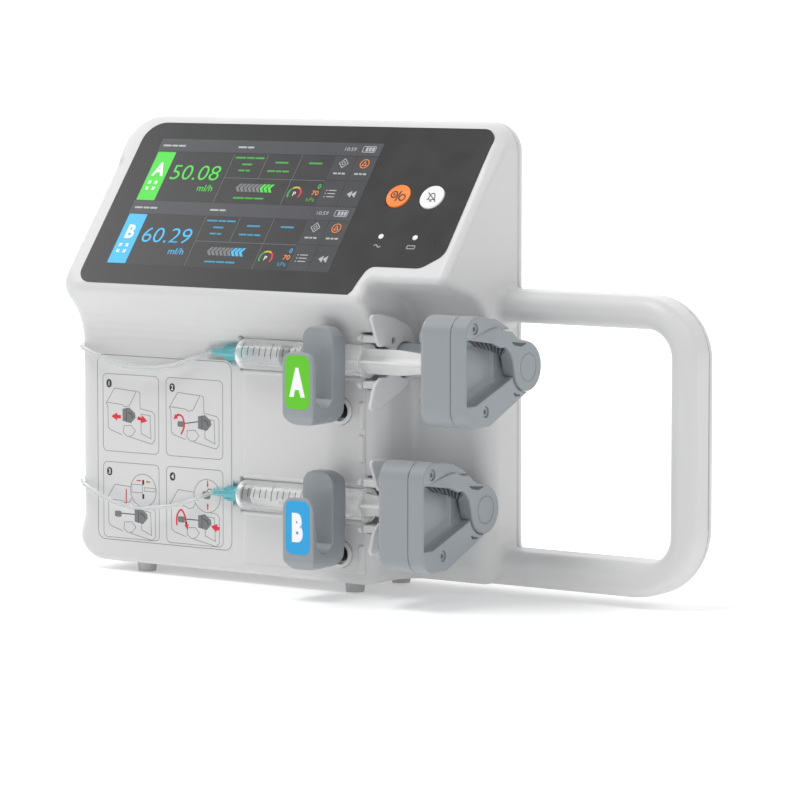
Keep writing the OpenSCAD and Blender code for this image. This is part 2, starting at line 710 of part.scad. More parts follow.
// ---------- infusion lines ----------
function lerp3(a, b, t) = a * (1 - t) + b * t;
function spline_at(p, i, t) = let (
    a = p[max(i - 1, 0)], b = p[i], c = p[i + 1], d = p[min(i + 2, len(p) - 1)])
  0.5 * (2 * b + (c - a) * t + (2 * a - 5 * b + 4 * c - d) * t * t + (3 * b - a - 3 * c + d) * t * t * t);
function route(p, n) = [for (i = [0:len(p) - 2], k = [0:n - 1]) spline_at(p, i, k / n), p[len(p) - 1]];
function unit(v) = v / norm(v);
module tube_along(q, r) {
  m = 8;
  n = len(q);
  dirs = [for (i = [0:n - 1]) unit(q[min(i + 1, n - 1)] - q[max(i - 1, 0)])];
  up = [for (d = dirs) abs(d[2]) > 0.9 ? [0, 1, 0] : [0, 0, 1]];
  side = [for (i = [0:n - 1]) unit(cross(dirs[i], up[i]))];
  pts = [for (i = [0:n - 1], k = [0:m - 1]) let (a = 360 * k / m, w = cross(side[i], dirs[i]))
    q[i] + r * (cos(a) * side[i] + sin(a) * w)];
  faces = concat(
    [[for (k = [0:m - 1]) k]],
    [for (i = [0:n - 2], k = [0:m - 1]) [i * m + (k + 1) % m, i * m + k, (i + 1) * m + k]],
    [for (i = [0:n - 2], k = [0:m - 1]) [i * m + (k + 1) % m, (i + 1) * m + k, (i + 1) * m + (k + 1) % m]],
    [[for (k = [m - 1:-1:0]) (n - 1) * m + k]]);
  polyhedron(points = pts, faces = faces, convexity = 6);
}
luer_end = barrel_x - 15;
level_h = line_d + 0.05;
coil_y = 86;
line_end_z = 3.6;
coil_a_x = -121;
coil_b_x = -72;
line_route_a = [[luer_end, syringe_y, axis_a], [-93, syringe_y, axis_a - 0.3], [-100, -16.8, 124.6],
  [-113, -18, 120.4], [-127, -19, 117.2], [-147, -20.5, 116.8], [-161, -20.5, 119], [-173, -19.5, 122.5],
  [-184.6, -15.8, 125.5], [-191.8, -7.5, 127], [-193, 6, 126], [-193, 24, 116], [-194, 44, 92], [-193, 60, 62],
  [-185, 71, 32], [-173, 77, 10], [-161, 77, 2], [-149, 73.5, 1.25], [-136, 69.6, 1.25],
  [coil_a_x, coil_y - coil_r, 1.25]];
line_route_b = [[luer_end, syringe_y, axis_b], [-93, syringe_y, axis_b - 0.3], [-101, -16.8, 45.5],
  [-114, -18, 41.2], [-128, -19, 38.6], [-144, -20, 37.6], [-160, -20.5, 40], [-173, -19.5, 44.2],
  [-184.6, -15.8, 48], [-191.8, -7.5, 50], [-193, 6, 49.5], [-193, 24, 42], [-194, 46, 26], [-191.5, 59, 9],
  [-175, 63, 1.8], [-160, 63.5, 1.25], [-141, 61.8, 1.25], [-121, 61, 1.25], [-94, 64, 1.25],
  [coil_b_x, coil_y - coil_r, 1.25]];
module line_a() { color([0.85, 0.93, 0.95, 0.6]) tube_along(route(line_route_a, 2), line_d / 2); }
module line_b() { color([0.85, 0.93, 0.95, 0.6]) tube_along(route(line_route_b, 2), line_d / 2); }
// square bundle of turns, wound flat, level on level
module coil(x) {
  translate([x, coil_y, 0.02]) rotate_extrude($fn = 64)
    translate([coil_r - coil_turns * level_h - line_d / 2, 0])
      square([coil_turns * level_h + line_d, coil_levels * level_h]);
}
module line_coils() {
  color([0.85, 0.93, 0.95, 0.6]) {
    coil(coil_a_x);
    coil(coil_b_x);
  }
}
// end of the line: a short tail out of the coil and a capped connector
module line_end(x) {
  translate([x, coil_y + coil_r, line_end_z]) {
    translate([-20, 0, 0]) xcyl(line_d / 2, 14, 24);
    translate([-27, 0, 0]) xcyl(2.2, 8, 32);
    translate([-34, 0, 0]) xcyl(3.5, 8, 32);
  }
}
module line_ends() {
  color([0.4, 0.8, 0.84]) {
    line_end(coil_a_x);
    line_end(coil_b_x);
  }
}

// ---------- named nodes ----------
module barrel_a() { barrel(axis_a); }
module luer_a() { luer(axis_a); }
module plunger_a() { plunger(head_a, axis_a); }
module seal_a() { seal(head_a, axis_a); }
module clamp_a() { clamp(axis_a); }
module clamp_label_a() { clamp_label(axis_a, [0.42, 0.81, 0.15]); }
module clamp_shaft_a() { clamp_shaft(axis_a); }
module flange_plate_a() { flange_plate(axis_a); }
module drive_tube_a() { drive_tube(head_a, axis_a); }
module carriage_a() { carriage(head_a - 172, axis_a); }
module lead_screw_a() { lead_screw(axis_a); }
module motor_a() { motor_block(axis_a); }
module motor_pulley_a() { motor_pulley(axis_a); }
module head_front_a() { head_front(head_a, axis_a); }
module head_rear_a() { head_rear(head_a, axis_a); }
module head_screws_a() { head_screws(head_a, axis_a); }
module clutch_lever_a() { clutch_lever(head_a, axis_a); }
module claw_top_a() { claw(head_a, axis_a, 1); }
module claw_bottom_a() { claw(head_a, axis_a, -1); }
module barrel_b() { barrel(axis_b); }
module luer_b() { luer(axis_b); }
module plunger_b() { plunger(head_b, axis_b); }
module seal_b() { seal(head_b, axis_b); }
module clamp_b() { clamp(axis_b); }
module clamp_label_b() { clamp_label(axis_b, [0.1, 0.69, 0.95]); }
module clamp_shaft_b() { clamp_shaft(axis_b); }
module flange_plate_b() { flange_plate(axis_b); }
module drive_tube_b() { drive_tube(head_b, axis_b); }
module carriage_b() { carriage(head_b - 172, axis_b); }
module lead_screw_b() { lead_screw(axis_b); }
module motor_b() { motor_block(axis_b); }
module motor_pulley_b() { motor_pulley(axis_b); }
module head_front_b() { head_front(head_b, axis_b); }
module head_rear_b() { head_rear(head_b, axis_b); }
module head_screws_b() { head_screws(head_b, axis_b); }
module clutch_lever_b() { clutch_lever(head_b, axis_b); }
module claw_top_b() { claw(head_b, axis_b, 1); }
module claw_bottom_b() { claw(head_b, axis_b, -1); }

front_shell();
rear_shell();
syringe_panel();
instruction_label();
screen_glass();
lcd_module();
button_power();
button_mute();
indicators();
main_board();
battery();
power_supply();
ac_inlet();
feet();
shell_screws();
drive_brackets();
clamp_rings();
drive_belts();
barrel_a();
luer_a();
plunger_a();
seal_a();
clamp_a();
clamp_label_a();
clamp_shaft_a();
flange_plate_a();
drive_tube_a();
carriage_a();
lead_screw_a();
motor_a();
motor_pulley_a();
head_front_a();
head_rear_a();
head_screws_a();
clutch_lever_a();
claw_top_a();
claw_bottom_a();
barrel_b();
luer_b();
plunger_b();
seal_b();
clamp_b();
clamp_label_b();
clamp_shaft_b();
flange_plate_b();
drive_tube_b();
carriage_b();
lead_screw_b();
motor_b();
motor_pulley_b();
head_front_b();
head_rear_b();
head_screws_b();
clutch_lever_b();
claw_top_b();
claw_bottom_b();
line_a();
line_b();
line_coils();
line_ends();
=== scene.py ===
import bpy
import bmesh
import json
import math
import numpy as np
from itertools import product
from mathutils import Matrix, Vector


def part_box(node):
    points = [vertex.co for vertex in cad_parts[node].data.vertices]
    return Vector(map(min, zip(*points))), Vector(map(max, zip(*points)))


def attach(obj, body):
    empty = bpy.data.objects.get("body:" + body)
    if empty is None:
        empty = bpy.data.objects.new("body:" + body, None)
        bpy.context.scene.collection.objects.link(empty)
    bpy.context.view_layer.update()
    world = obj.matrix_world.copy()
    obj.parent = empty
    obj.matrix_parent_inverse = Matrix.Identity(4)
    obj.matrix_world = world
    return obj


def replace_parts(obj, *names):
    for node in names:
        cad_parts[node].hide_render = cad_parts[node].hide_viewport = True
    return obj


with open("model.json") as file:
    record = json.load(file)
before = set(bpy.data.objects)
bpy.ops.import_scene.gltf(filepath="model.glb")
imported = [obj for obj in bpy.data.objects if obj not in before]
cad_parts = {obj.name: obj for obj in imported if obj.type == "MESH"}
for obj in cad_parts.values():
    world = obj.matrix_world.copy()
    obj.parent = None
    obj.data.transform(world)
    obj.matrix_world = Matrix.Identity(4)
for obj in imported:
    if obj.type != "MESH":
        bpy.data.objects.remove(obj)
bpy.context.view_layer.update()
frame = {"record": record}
MM = 0.001


def box_mm(node):
    """Lowest and highest corner of a CAD node, in millimetres."""
    low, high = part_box(node)
    return [c / MM for c in low], [c / MM for c in high]


# ---------- key dimensions in millimetres, read from the frame where it has them ----------
shell_low, shell_high = box_mm("front_shell")
panel_low, panel_high = box_mm("syringe_panel")
LEFT = shell_low[0]
OUTER = shell_high[0]
PART_Y = shell_high[1]
BASE = shell_low[2]
TOP = shell_high[2]
REAR = box_mm("rear_shell")[1][1]
BLOCK = panel_high[0] + 9.2
RIGHT = BLOCK + 49
FRONT = box_mm("instruction_label")[0][1]
CHANNEL_Y = FRONT + 32
HANDLE_Y = REAR - 28
HANDLE_TOP = BASE + 160.5


def axis_of(channel):
    low, high = box_mm("drive_tube_" + channel)
    return (low[2] + high[2]) / 2


AXIS = {"a": axis_of("a"), "b": axis_of("b")}
TUBE_Y = sum(box_mm("drive_tube_a")[i][1] for i in (0, 1)) / 2
SYRINGE_Y = sum(box_mm("seal_a")[i][1] for i in (0, 1)) / 2
HEAD = {c: box_mm("head_front_" + c)[0][0] for c in "ab"}
BARREL_X = box_mm("barrel_a")[0][0] + 10
FLANGE_X = box_mm("barrel_a")[1][0] - 2
CLAMP_LOW, CLAMP_HIGH = box_mm("clamp_a")
CLAMP_X = (CLAMP_LOW[0] + CLAMP_HIGH[0]) / 2
CLAMP_DROP = AXIS["a"] - sum(box_mm("clamp_shaft_a")[i][2] for i in (0, 1)) / 2

# screen plane: origin at the lower left corner of the picture, u to the right, v up the slope
TILT = math.radians(52.28)
FACE_O = Vector((LEFT + 30, FRONT - 10, 174.5))
FACE_U = Vector((1, 0, 0))
FACE_V = Vector((0, math.cos(TILT), math.sin(TILT)))
FACE_N = Vector((0, -math.sin(TILT), math.cos(TILT)))
LCD_W = 154.1
LCD_H = 86.0
KEY_U = 178.4
KEY_V = 51.5
KEY_GAP = 22.1


# ---------- distance fields ----------
def corner_round(points, step=8):
    """Polygon with rounded corners: points are (a, b) or (a, b, radius)."""
    out = []
    n = len(points)
    for i, p in enumerate(points):
        here = Vector(p[:2])
        if len(p) < 3:
            out.append(here)
            continue
        before = (Vector(points[i - 1][:2]) - here).normalized()
        after = (Vector(points[(i + 1) % n][:2]) - here).normalized()
        half = before.angle(after) / 2
        centre = here + (before + after).normalized() * (p[2] / math.sin(half))
        reach = p[2] / math.tan(half)
        a0 = here + before * reach - centre
        turn = a0.angle_signed(here + after * reach - centre)
        count = max(3, int(abs(math.degrees(turn)) / step))
        out += [centre + Matrix.Rotation(-turn * k / count, 2) @ a0 for k in range(count + 1)]
    return out


def polygon_field(points, a, b):
    """Signed distance from (a, b) to a polygon, negative inside."""
    p = np.array([tuple(q) for q in points])
    d = None
    sign = 1.0
    for (x0, y0), (x1, y1) in zip(p, np.roll(p, 1, axis=0)):
        ex, ey = x1 - x0, y1 - y0
        wx, wy = a - x0, b - y0
        t = np.clip((wx * ex + wy * ey) / max(ex * ex + ey * ey, 1e-12), 0, 1)
        dist = (wx - ex * t) ** 2 + (wy - ey * t) ** 2
        d = dist if d is None else np.minimum(d, dist)
        c1 = b >= y0
        c2 = b < y1
        c3 = ex * wy > ey * wx
        flip = (c1 & c2 & c3) | (~c1 & ~c2 & ~c3)
        sign = np.where(flip, -sign, sign)
    return sign * np.sqrt(d)


def both(a, b, r=0.0):
    """Intersection of two fields with an edge rounded by r."""
    r = np.maximum(r, 1e-6)
    u = np.maximum(a + r, 0)
    v = np.maximum(b + r, 0)
    return np.minimum(np.maximum(a, b), -r) + np.sqrt(u * u + v * v)


def cut(a, b, r=0.0):
    return both(a, -b, r)


def join(a, b, r=0.0):
    """Union of two fields with a fillet of radius r."""
    return -both(-a, -b, r)


def ramp(t, t0, t1):
    s = np.clip((t - t0) / (t1 - t0), 0, 1)
    return s * s * (3 - 2 * s)


def circle_field(a, b, ca, cb, r):
    """Distance to a circle, which is a round rod along the third axis."""
    return np.sqrt((a - ca) ** 2 + (b - cb) ** 2) - r


def slab_field(x, x0, x1):
    return np.maximum(x0 - x, x - x1)


def box_field(x, y, z, low, high, r=0.0):
    c = [(low[i] + high[i]) / 2 for i in range(3)]
    h = [(high[i] - low[i]) / 2 - r for i in range(3)]
    q = [np.abs(p - c[i]) - h[i] for i, p in enumerate((x, y, z))]
    out = np.sqrt(sum(np.maximum(k, 0) ** 2 for k in q))
    return out + np.minimum(np.maximum(np.maximum(q[0], q[1]), q[2]), 0) - r


def capsule_field(x, y, z, p, q, r):
    """Distance to a rod from p to q with round ends."""
    d = [q[i] - p[i] for i in range(3)]
    w = [c - p[i] for i, c in enumerate((x, y, z))]
    t = np.clip(sum(w[i] * d[i] for i in range(3)) / sum(k * k for k in d), 0, 1)
    return np.sqrt(sum((w[i] - d[i] * t) ** 2 for i in range(3))) - r


def grid_line(*stops):
    """Grid coordinates from (start, step) pairs; the last entry is the end."""
    out = []
    for (a, step), nxt in zip(stops[:-1], stops[1:]):
        b = nxt[0] if isinstance(nxt, tuple) else nxt
        count = max(1, round((b - a) / step))
        out += [a + (b - a) * i / count for i in range(count)]
    out.append(stops[-1])
    return np.array(out, np.float64)


def skin(d, axes):
    """Vertices and quads of the zero level of d: one vertex in each cell that the surface crosses."""
    inside = d < 0
    size = tuple(k - 1 for k in d.shape)
    count = np.zeros(size, np.int8)
    for i, j, k in product((0, 1), repeat=3):
        count += inside[i : size[0] + i, j : size[1] + j, k : size[2] + k]
    active = (count > 0) & (count < 8)
    number = np.full(size, -1, np.int64)
    cells = np.argwhere(active)
    number[active] = np.arange(len(cells))
    total = np.zeros((len(cells), 3))
    hits = np.zeros(len(cells))
    for ax in range(3):
        for p, q in product((0, 1), repeat=2):
            shift = [p, q]
            shift.insert(ax, 0)
            i0 = cells + shift
            i1 = i0.copy()
            i1[:, ax] += 1
            d0 = d[tuple(i0.T)]
            d1 = d[tuple(i1.T)]
            m = (d0 < 0) != (d1 < 0)
            t = np.where(m, d0 / np.where(m, d0 - d1, 1), 0)
            for c in range(3):
                lo = axes[c][i0[:, c]]
                total[:, c] += m * (lo + (axes[c][i1[:, c]] - lo) * t)
            hits += m
    verts = total / hits[:, None]
    quads = []
    for ax in range(3):
        o1, o2 = [(1, 2), (2, 0), (0, 1)][ax]
        lo = [slice(1, -1)] * 3
        hi = [slice(1, -1)] * 3
        lo[ax] = slice(0, -1)
        hi[ax] = slice(1, None)
        s0 = inside[tuple(lo)]
        s1 = inside[tuple(hi)]
        edges = np.argwhere(s0 != s1)
        rising = s0[tuple(edges.T)]
        base = edges + [0 if c == ax else 1 for c in range(3)]
        ring = []
        for p, q in ((-1, -1), (0, -1), (0, 0), (-1, 0)):
            e = base.copy()
            e[:, o1] += p
            e[:, o2] += q
            ring.append(number[tuple(e.T)])
        ring = np.stack(ring, axis=1)
        ring[~rising] = ring[~rising][:, ::-1]
        quads.append(ring)
    return verts, np.concatenate(quads)


def field_normals(field, v, eps=0.06):
    g = np.zeros_like(v)
    for ax in range(3):
        e = np.zeros(3)
        e[ax] = eps
        g[:, ax] = field(*(v + e).T) - field(*(v - e).T)
    return g / np.maximum(np.linalg.norm(g, axis=1), 1e-9)[:, None]


def solid(name, axes, field):
    """Mesh object of a distance field given in millimetres, with exact normals."""
    x = axes[0][:, None, None]
    y = axes[1][None, :, None]
    z = axes[2][None, None, :]
    d = np.broadcast_to(field(x, y, z), [len(a) for a in axes])
    v, quads = skin(np.ascontiguousarray(d), axes)
    for _ in range(2):
        n = field_normals(field, v)
        off = np.clip(field(*v.T), -0.5, 0.5)
        v = v - n * off[:, None]
    n = field_normals(field, v)
    return mesh_object(name, v, quads, n)


def put(name, data):
    """New object in the scene."""
    ob = bpy.data.objects.new(name, data)
    bpy.context.scene.collection.objects.link(ob)
    return ob


def mesh_object(name, v, faces, normals=None):
    mesh = bpy.data.meshes.new(name)
    mesh.from_pydata([tuple(p) for p in np.asarray(v) * MM], [], [tuple(map(int, f)) for f in faces])
    mesh.update()
    mesh.polygons.foreach_set("use_smooth", [True] * len(mesh.polygons))
    if normals is not None:
        mesh.normals_split_custom_set_from_vertices([tuple(k) for k in normals])
    return put(name, mesh)


# ---------- materials ----------
def linear(code):
    """Linear colour from a hex code such as 8b9096."""
    c = [int(code[i : i + 2], 16) / 255 for i in (0, 2, 4)]
    return [k / 12.92 if k < 0.04045 else ((k + 0.055) / 1.055) ** 2.4 for k in c]


def paint(name, code, rough=0.45, grain=900, bump=0.05, metal=0.0, clear=0.0, coat=0.0, glow=0.0):
    """Procedural finish: fine noise moves roughness and height a little."""
    m = bpy.data.materials.new(name)
    m.use_nodes = True
    t = m.node_tree
    s = t.nodes["Principled BSDF"]
    s.inputs["Base Color"].default_value = (*linear(code), 1)
    s.inputs["Metallic"].default_value = metal
    s.inputs["Transmission Weight"].default_value = clear
    s.inputs["Coat Weight"].default_value = coat
    if glow:
        s.inputs["Emission Color"].default_value = (*linear(code), 1)
        s.inputs["Emission Strength"].default_value = glow
    where = t.nodes.new("ShaderNodeTexCoord")
    noise = t.nodes.new("ShaderNodeTexNoise")
    noise.inputs["Scale"].default_value = grain
    noise.inputs["Detail"].default_value = 3
    t.links.new(where.outputs["Object"], noise.inputs["Vector"])
    level = t.nodes.new("ShaderNodeMapRange")
    level.inputs["To Min"].default_value = max(rough - 0.06, 0.02)
    level.inputs["To Max"].default_value = rough + 0.06
    t.links.new(noise.outputs["Fac"], level.inputs["Value"])
    t.links.new(level.outputs["Result"], s.inputs["Roughness"])
    height = t.nodes.new("ShaderNodeBump")
    height.inputs["Strength"].default_value = bump
    height.inputs["Distance"].default_value = 0.0002
    t.links.new(noise.outputs["Fac"], height.inputs["Height"])
    t.links.new(height.outputs["Normal"], s.inputs["Normal"])
    return m


MAT = {
    "housing_white": paint("satin white ABS", "dcdcdc", 0.42, 1400, 0.06),
    "label_print": paint("printed film", "dddddd", 0.4, 300, 0.02),
    "front_glass": paint("dark front lens", "121214", 0.3, 60, 0.01),
    "display": paint("display", "333940", 0.3, 200, 0.02),
    "key_orange": paint("orange key", "ff8420", 0.4, 900, 0.04),
    "key_white": paint("white key", "f2f2f2", 0.4, 900, 0.04),
    "lamp": paint("light guide", "f4f7fa", 0.15, 400, 0.02, coat=0.4),
    "circuit_board": paint("solder resist", "1f6b3a", 0.4, 500, 0.08),
    "battery_wrap": paint("shrink wrap", "3a55a0", 0.35, 300, 0.05),
    "black_plastic": paint("black plastic", "1b1b1d", 0.5, 1200, 0.1),
    "foot_rubber": paint("rubber", "b8b9ba", 0.75, 1500, 0.15),
    "steel": paint("zinc plated steel", "b4b6ba", 0.28, 700, 0.06, metal=1.0),
    "bracket_metal": paint("aluminium", "c0c2c6", 0.38, 400, 0.06, metal=1.0),
    "grey_plastic": paint("grey plastic", "999fa4", 0.3, 1600, 0.1),
    "dark_plastic": paint("darker grey plastic", "979da2", 0.3, 1600, 0.1),
    "label_green": paint("green film", "62cf14", 0.32, 300, 0.02),
    "label_blue": paint("blue film", "1ba8e8", 0.32, 300, 0.02),
    "shaft_steel": paint("blackened steel", "3a3d41", 0.35, 700, 0.05, metal=0.7),
    "plate_white": paint("satin white", "e4e5e6", 0.32, 1200, 0.04),
    "tube_paint": paint("dark anodised tube", "bac2c8", 0.3, 900, 0.05),
    # The barrel's slight glow is painted light: clear plastic gives no light of its own
    "syringe_clear": paint("clear polypropylene", "fdfefe", 0.08, 200, 0.02, clear=0.9, glow=0.05),
    "plunger_white": paint("white polypropylene", "f4f4f3", 0.38, 900, 0.04),
    "seal_rubber": paint("seal rubber", "3c3e42", 0.6, 1200, 0.1),
    # The slight glow of the luers and line connectors is painted light
    "luer_teal": paint("teal plastic", "8fe2e9", 0.15, 500, 0.03, clear=0.7, glow=0.04),
    "line_pvc": paint("clear line", "f6fafa", 0.12, 300, 0.02, clear=0.7),
}
PRINT = (0.35, 300, 0.02)
LABEL = (0.4, 300, 0.02)
LCD = (0.3, 80, 0.01)
INK = {key: paint(name, code, *finish, glow=glow) for key, name, code, finish, glow in (
    # White print glows: right for the lit screen, but on the clamp letters and the label's frame numbers,
    # which use it too, the glow is painted light
    ("white", "print white", "f2f2f2", PRINT, 0.12),
    ("grey", "print grey", "77797b", PRINT, 0),
    ("pale", "print pale grey", "b4b6b8", PRINT, 0),
    ("line", "print line grey", "77787a", LABEL, 0),
    ("green_text", "screen dark green", "35ab2a", PRINT, 0),
    ("blue_text", "screen dark blue", "2f93bb", PRINT, 0),
    ("yellow", "screen yellow", "e2b52c", PRINT, 0),
    ("dark", "print dark", "26282a", PRINT, 0),
    ("green", "print green", "46d63a", PRINT, 0.1),
    ("blue", "print blue", "3cb9f0", PRINT, 0.1),
    ("orange", "print orange", "ff8a2b", PRINT, 0.15),
    ("red", "print red", "e0263a", LABEL, 0),
    ("screen", "screen ground", "252628", LCD, 0),
    ("screen_top", "screen header", "414248", LCD, 0),
    ("key_ground", "screen key ground", "37383a", LCD, 0),
)}


def dress(ob, node_slot, body="housing", mat=None):
    """Give a piece its finish, taken from its slot unless a material is given, and the body it rides on."""
    ob.data.materials.clear()
    ob.data.materials.append(mat or MAT[node_slot])
    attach(ob, body)
    return ob


# ---------- shapes ----------
def on_face(u, v, w):
    p = FACE_O + FACE_U * u + FACE_V * v + FACE_N * w
    return (p.x, p.y, p.z)


def on_front(x, z, w):
    return (x, FRONT - w, z)


def weld(name, parts):
    """One mesh object out of (verts, faces) pairs."""
    v, f = [], []
    for pv, pf in parts:
        f += [[i + len(v) for i in face] for face in pf]
        v += list(pv)
    ob = mesh_object(name, v, f)
    ob.data.set_sharp_from_angle(angle=math.radians(35))
    return ob


def signed_area(points):
    return sum(p[0] * q[1] - q[0] * p[1] for p, q in zip(points, points[1:] + points[:1]))


def tower(rings, flip=False, closed=False):
    """Surface through rings of equally many points, its two ends filled or joined to each other."""
    n, m = len(rings[0]), len(rings)
    v = [p for ring in rings for p in ring]
    f = []
    if not closed:
        f += [list(range(n))[::-1], [(m - 1) * n + i for i in range(n)]]
    for k in range(m if closed else m - 1):
        a, b = k * n, (k + 1) % m * n
        f += [[a + i, a + (i + 1) % n, b + (i + 1) % n, b + i] for i in range(n)]
    return v, [g[::-1] for g in f] if flip else f


def slice_of(points, lo, hi, place):
    """Closed prism of a 2-D outline between two levels."""
    points = [tuple(p) for p in points]
    if signed_area(points) < 0:
        points = points[::-1]
    return tower([[place(a, b, w) for a, b in points] for w in (lo, hi)])


def band_of(points, width, lo, hi, place):
    """Closed frame that follows an outline, width to its inside."""
    points = [Vector(p[:2]) for p in points]
    if signed_area(points) < 0:
        points = points[::-1]
    n = len(points)
    inner = []
    for i, p in enumerate(points):
        a = (p - points[i - 1]).normalized()
        b = (points[(i + 1) % n] - p).normalized()
        m = Vector((-a.y - b.y, a.x + b.x))
        m.normalize()
        k = max(0.5, m.dot(Vector((-a.y, a.x))))
        inner.append(p + m * (width / k))
    rings = ((points, lo), (points, hi), (inner, hi), (inner, lo))
    return tower([[place(p.x, p.y, w) for p in loop] for loop, w in rings], closed=True)


def oblong(a0, b0, a1, b1, r=0.5):
    return corner_round([(a0, b0, r), (a1, b0, r), (a1, b1, r), (a0, b1, r)], 18)


def disc(a, b, r, n=32):
    return [(a + r * math.cos(i * math.tau / n), b + r * math.sin(i * math.tau / n)) for i in range(n)]


def stroke(points, width):
    """Outline of a bent line of a given width."""
    p = [Vector(q) for q in points]
    left, right = [], []
    for i, q in enumerate(p):
        a = (q - p[max(i - 1, 0)]).normalized() if i else (p[1] - p[0]).normalized()
        b = (p[min(i + 1, len(p) - 1)] - q).normalized() if i < len(p) - 1 else a
        m = (a + b).normalized()
        k = max(0.6, m.dot(a))
        off = Vector((-m.y, m.x)) * (width / 2 / k)
        left.append(q + off)
        right.append(q - off)
    return left + right[::-1]


def dashes(a, b, length, height, count=3):
    """Neutral bars where the original has words."""
    gap = height * 0.55
    part = (length - gap * (count - 1)) / count
    share = [1.15, 0.85, 1.0, 0.9, 1.1][:count]
    total = sum(share)
    out = []
    at = a - length / 2
    for s in share:
        w = part * count * s / total
        out.append(oblong(at, b - height / 2, at + w, b + height / 2, height * 0.3))
        at += w + gap
    return out


def words(text, a, b, height, lo, hi, place, stretch=1.0, bold=0.0):
    """Raised letters, height of a capital in mm, centred on (a, b)."""
    curve = bpy.data.curves.new("word", "FONT")
    curve.body = text
    curve.resolution_u = 4
    curve.offset = bold
    ob = bpy.data.objects.new("word", curve)
    mesh = bpy.data.meshes.new_from_object(ob)
    pts = np.array([q.co[:2] for q in mesh.vertices])
    faces = [list(p.vertices) for p in mesh.polygons]
    bpy.data.meshes.remove(mesh)
    bpy.data.objects.remove(ob)
    k = height / 0.69
    low, high = pts.min(0), pts.max(0)
    mid = (low + high) / 2
    flat = (pts - mid) * np.array((k * stretch, k)) + np.array((a, b))
    edges = {}
    for f in faces:
        for i in range(len(f)):
            e = (f[i], f[(i + 1) % len(f)])
            if (e[1], e[0]) in edges:
                del edges[(e[1], e[0])]
            else:
                edges[e] = True
    n = len(flat)
    v = [place(p[0], p[1], w) for w in (lo, hi) for p in flat]
    out = [[i + n for i in f] for f in faces] + [f[::-1] for f in faces]
    out += [[i, j, n + j, n + i] for i, j in edges]
    return v, out


def lathe(name, profile, y, z, n=64, closed=False):
    """Body of revolution about a line along X through (y, z); profile is (x, r) pairs."""
    rings = [[(x, a, b) for a, b in disc(y, z, r, n)] for x, r in profile]
    ob = mesh_object(name, *tower(rings, flip=True, closed=closed))
    bm = bmesh.new()
    bm.from_mesh(ob.data)
    bmesh.ops.remove_doubles(bm, verts=bm.verts, dist=1e-7)
    bmesh.ops.recalc_face_normals(bm, faces=bm.faces)
    bm.to_mesh(ob.data)
    bm.free()
    ob.data.set_sharp_from_angle(angle=math.radians(35))
    return ob


def soften(ob, width, angle=40):
    """Bevel modifier on sharp edges."""
    b = ob.modifiers.new("edge", "BEVEL")
    b.width = width * MM
    b.segments = 3
    b.limit_method = "ANGLE"
    b.angle_limit = math.radians(angle)
    b.harden_normals = False
    return ob


def hull_outline(circles, n=40):
    """Convex outline round (a, b, radius) circles."""
    pts = sorted({(round(p[0], 5), round(p[1], 5)) for c in circles for p in disc(*c, n)})

    def half(seq):
        out = []
        for p in seq:
            while len(out) > 1 and (
                (out[-1][0] - out[-2][0]) * (p[1] - out[-2][1])
                - (out[-1][1] - out[-2][1]) * (p[0] - out[-2][0])
            ) <= 0:
                out.pop()
            out.append(p)
        return out[:-1]

    return half(pts) + half(pts[::-1])


def even_grid(low, high, step):
    return [grid_line((low[i] - 1.5 * step, step), high[i] + 1.5 * step) for i in range(3)]


# ---------- camera ----------
AZ = math.radians(35.1768)
EL = math.radians(5.48)
cam_data = bpy.data.cameras.new("camera")
cam_data.sensor_width = 36
cam_data.lens = 183.36
cam_data.clip_end = 50
cam_data.dof.use_dof = False
cam = put("camera", cam_data)
back = Vector((math.sin(AZ) * math.cos(EL), -math.cos(AZ) * math.cos(EL), math.sin(EL)))
cam.location = (1.285509, -1.790284, 0.315943)
cam.rotation_euler = back.to_track_quat("Z", "Y").to_euler()
bpy.context.scene.camera = cam

# ---------- infusion lines ----------
LINE_D = 2.4
COIL_R = 17.7
COIL_Y = 86
PER_LEVEL = 3.375
LEVELS = 4
PITCH = 2.45
COIL_X = {"a": -121, "b": -72}
START_X = BARREL_X - 15
ROUTE = {
    "a": [(-93, -15.5, 127.2), (-100, -16.8, 124.6), (-113, -18, 120.4), (-127, -19, 117.2),
          (-147, -20.5, 116.8), (-161, -20.5, 119), (-173, -19.5, 122.5), (-184.6, -15.8, 125.5),
          (-191.8, -7.5, 127), (-193, 6, 126), (-193, 24, 116), (-194, 44, 92), (-193, 60, 62),
          (-185, 71, 32), (-173, 77, 10), (-161, 77, 2), (-149, 73.5, 1.25), (-136, 69.6, 1.25)],
    "b": [(-93, -15.5, 49.2), (-101, -16.8, 45.5), (-114, -18, 41.2), (-128, -19, 38.6),
          (-144, -20, 37.6), (-160, -20.5, 40), (-173, -19.5, 44.2), (-184.6, -15.8, 48),
          (-191.8, -7.5, 50), (-193, 6, 49.5), (-193, 24, 42), (-194, 46, 26), (-191.5, 59, 9),
          (-175, 63, 1.8), (-160, 63.5, 1.25), (-141, 61.8, 1.25), (-121, 61, 1.25), (-94, 64, 1.25)],
}


def spline(points, n):
    out = []
    for i in range(len(points) - 1):
        a = Vector(points[max(i - 1, 0)])
        b, c = Vector(points[i]), Vector(points[i + 1])
        d = Vector(points[min(i + 2, len(points) - 1)])
        for k in range(n):
            t = k / n
            out.append(
                0.5 * (2 * b + (c - a) * t + (2 * a - 5 * b + 4 * c - d) * t * t
                       + (3 * b - a - 3 * c + d) * t**3)
            )
    return out + [Vector(points[-1])]


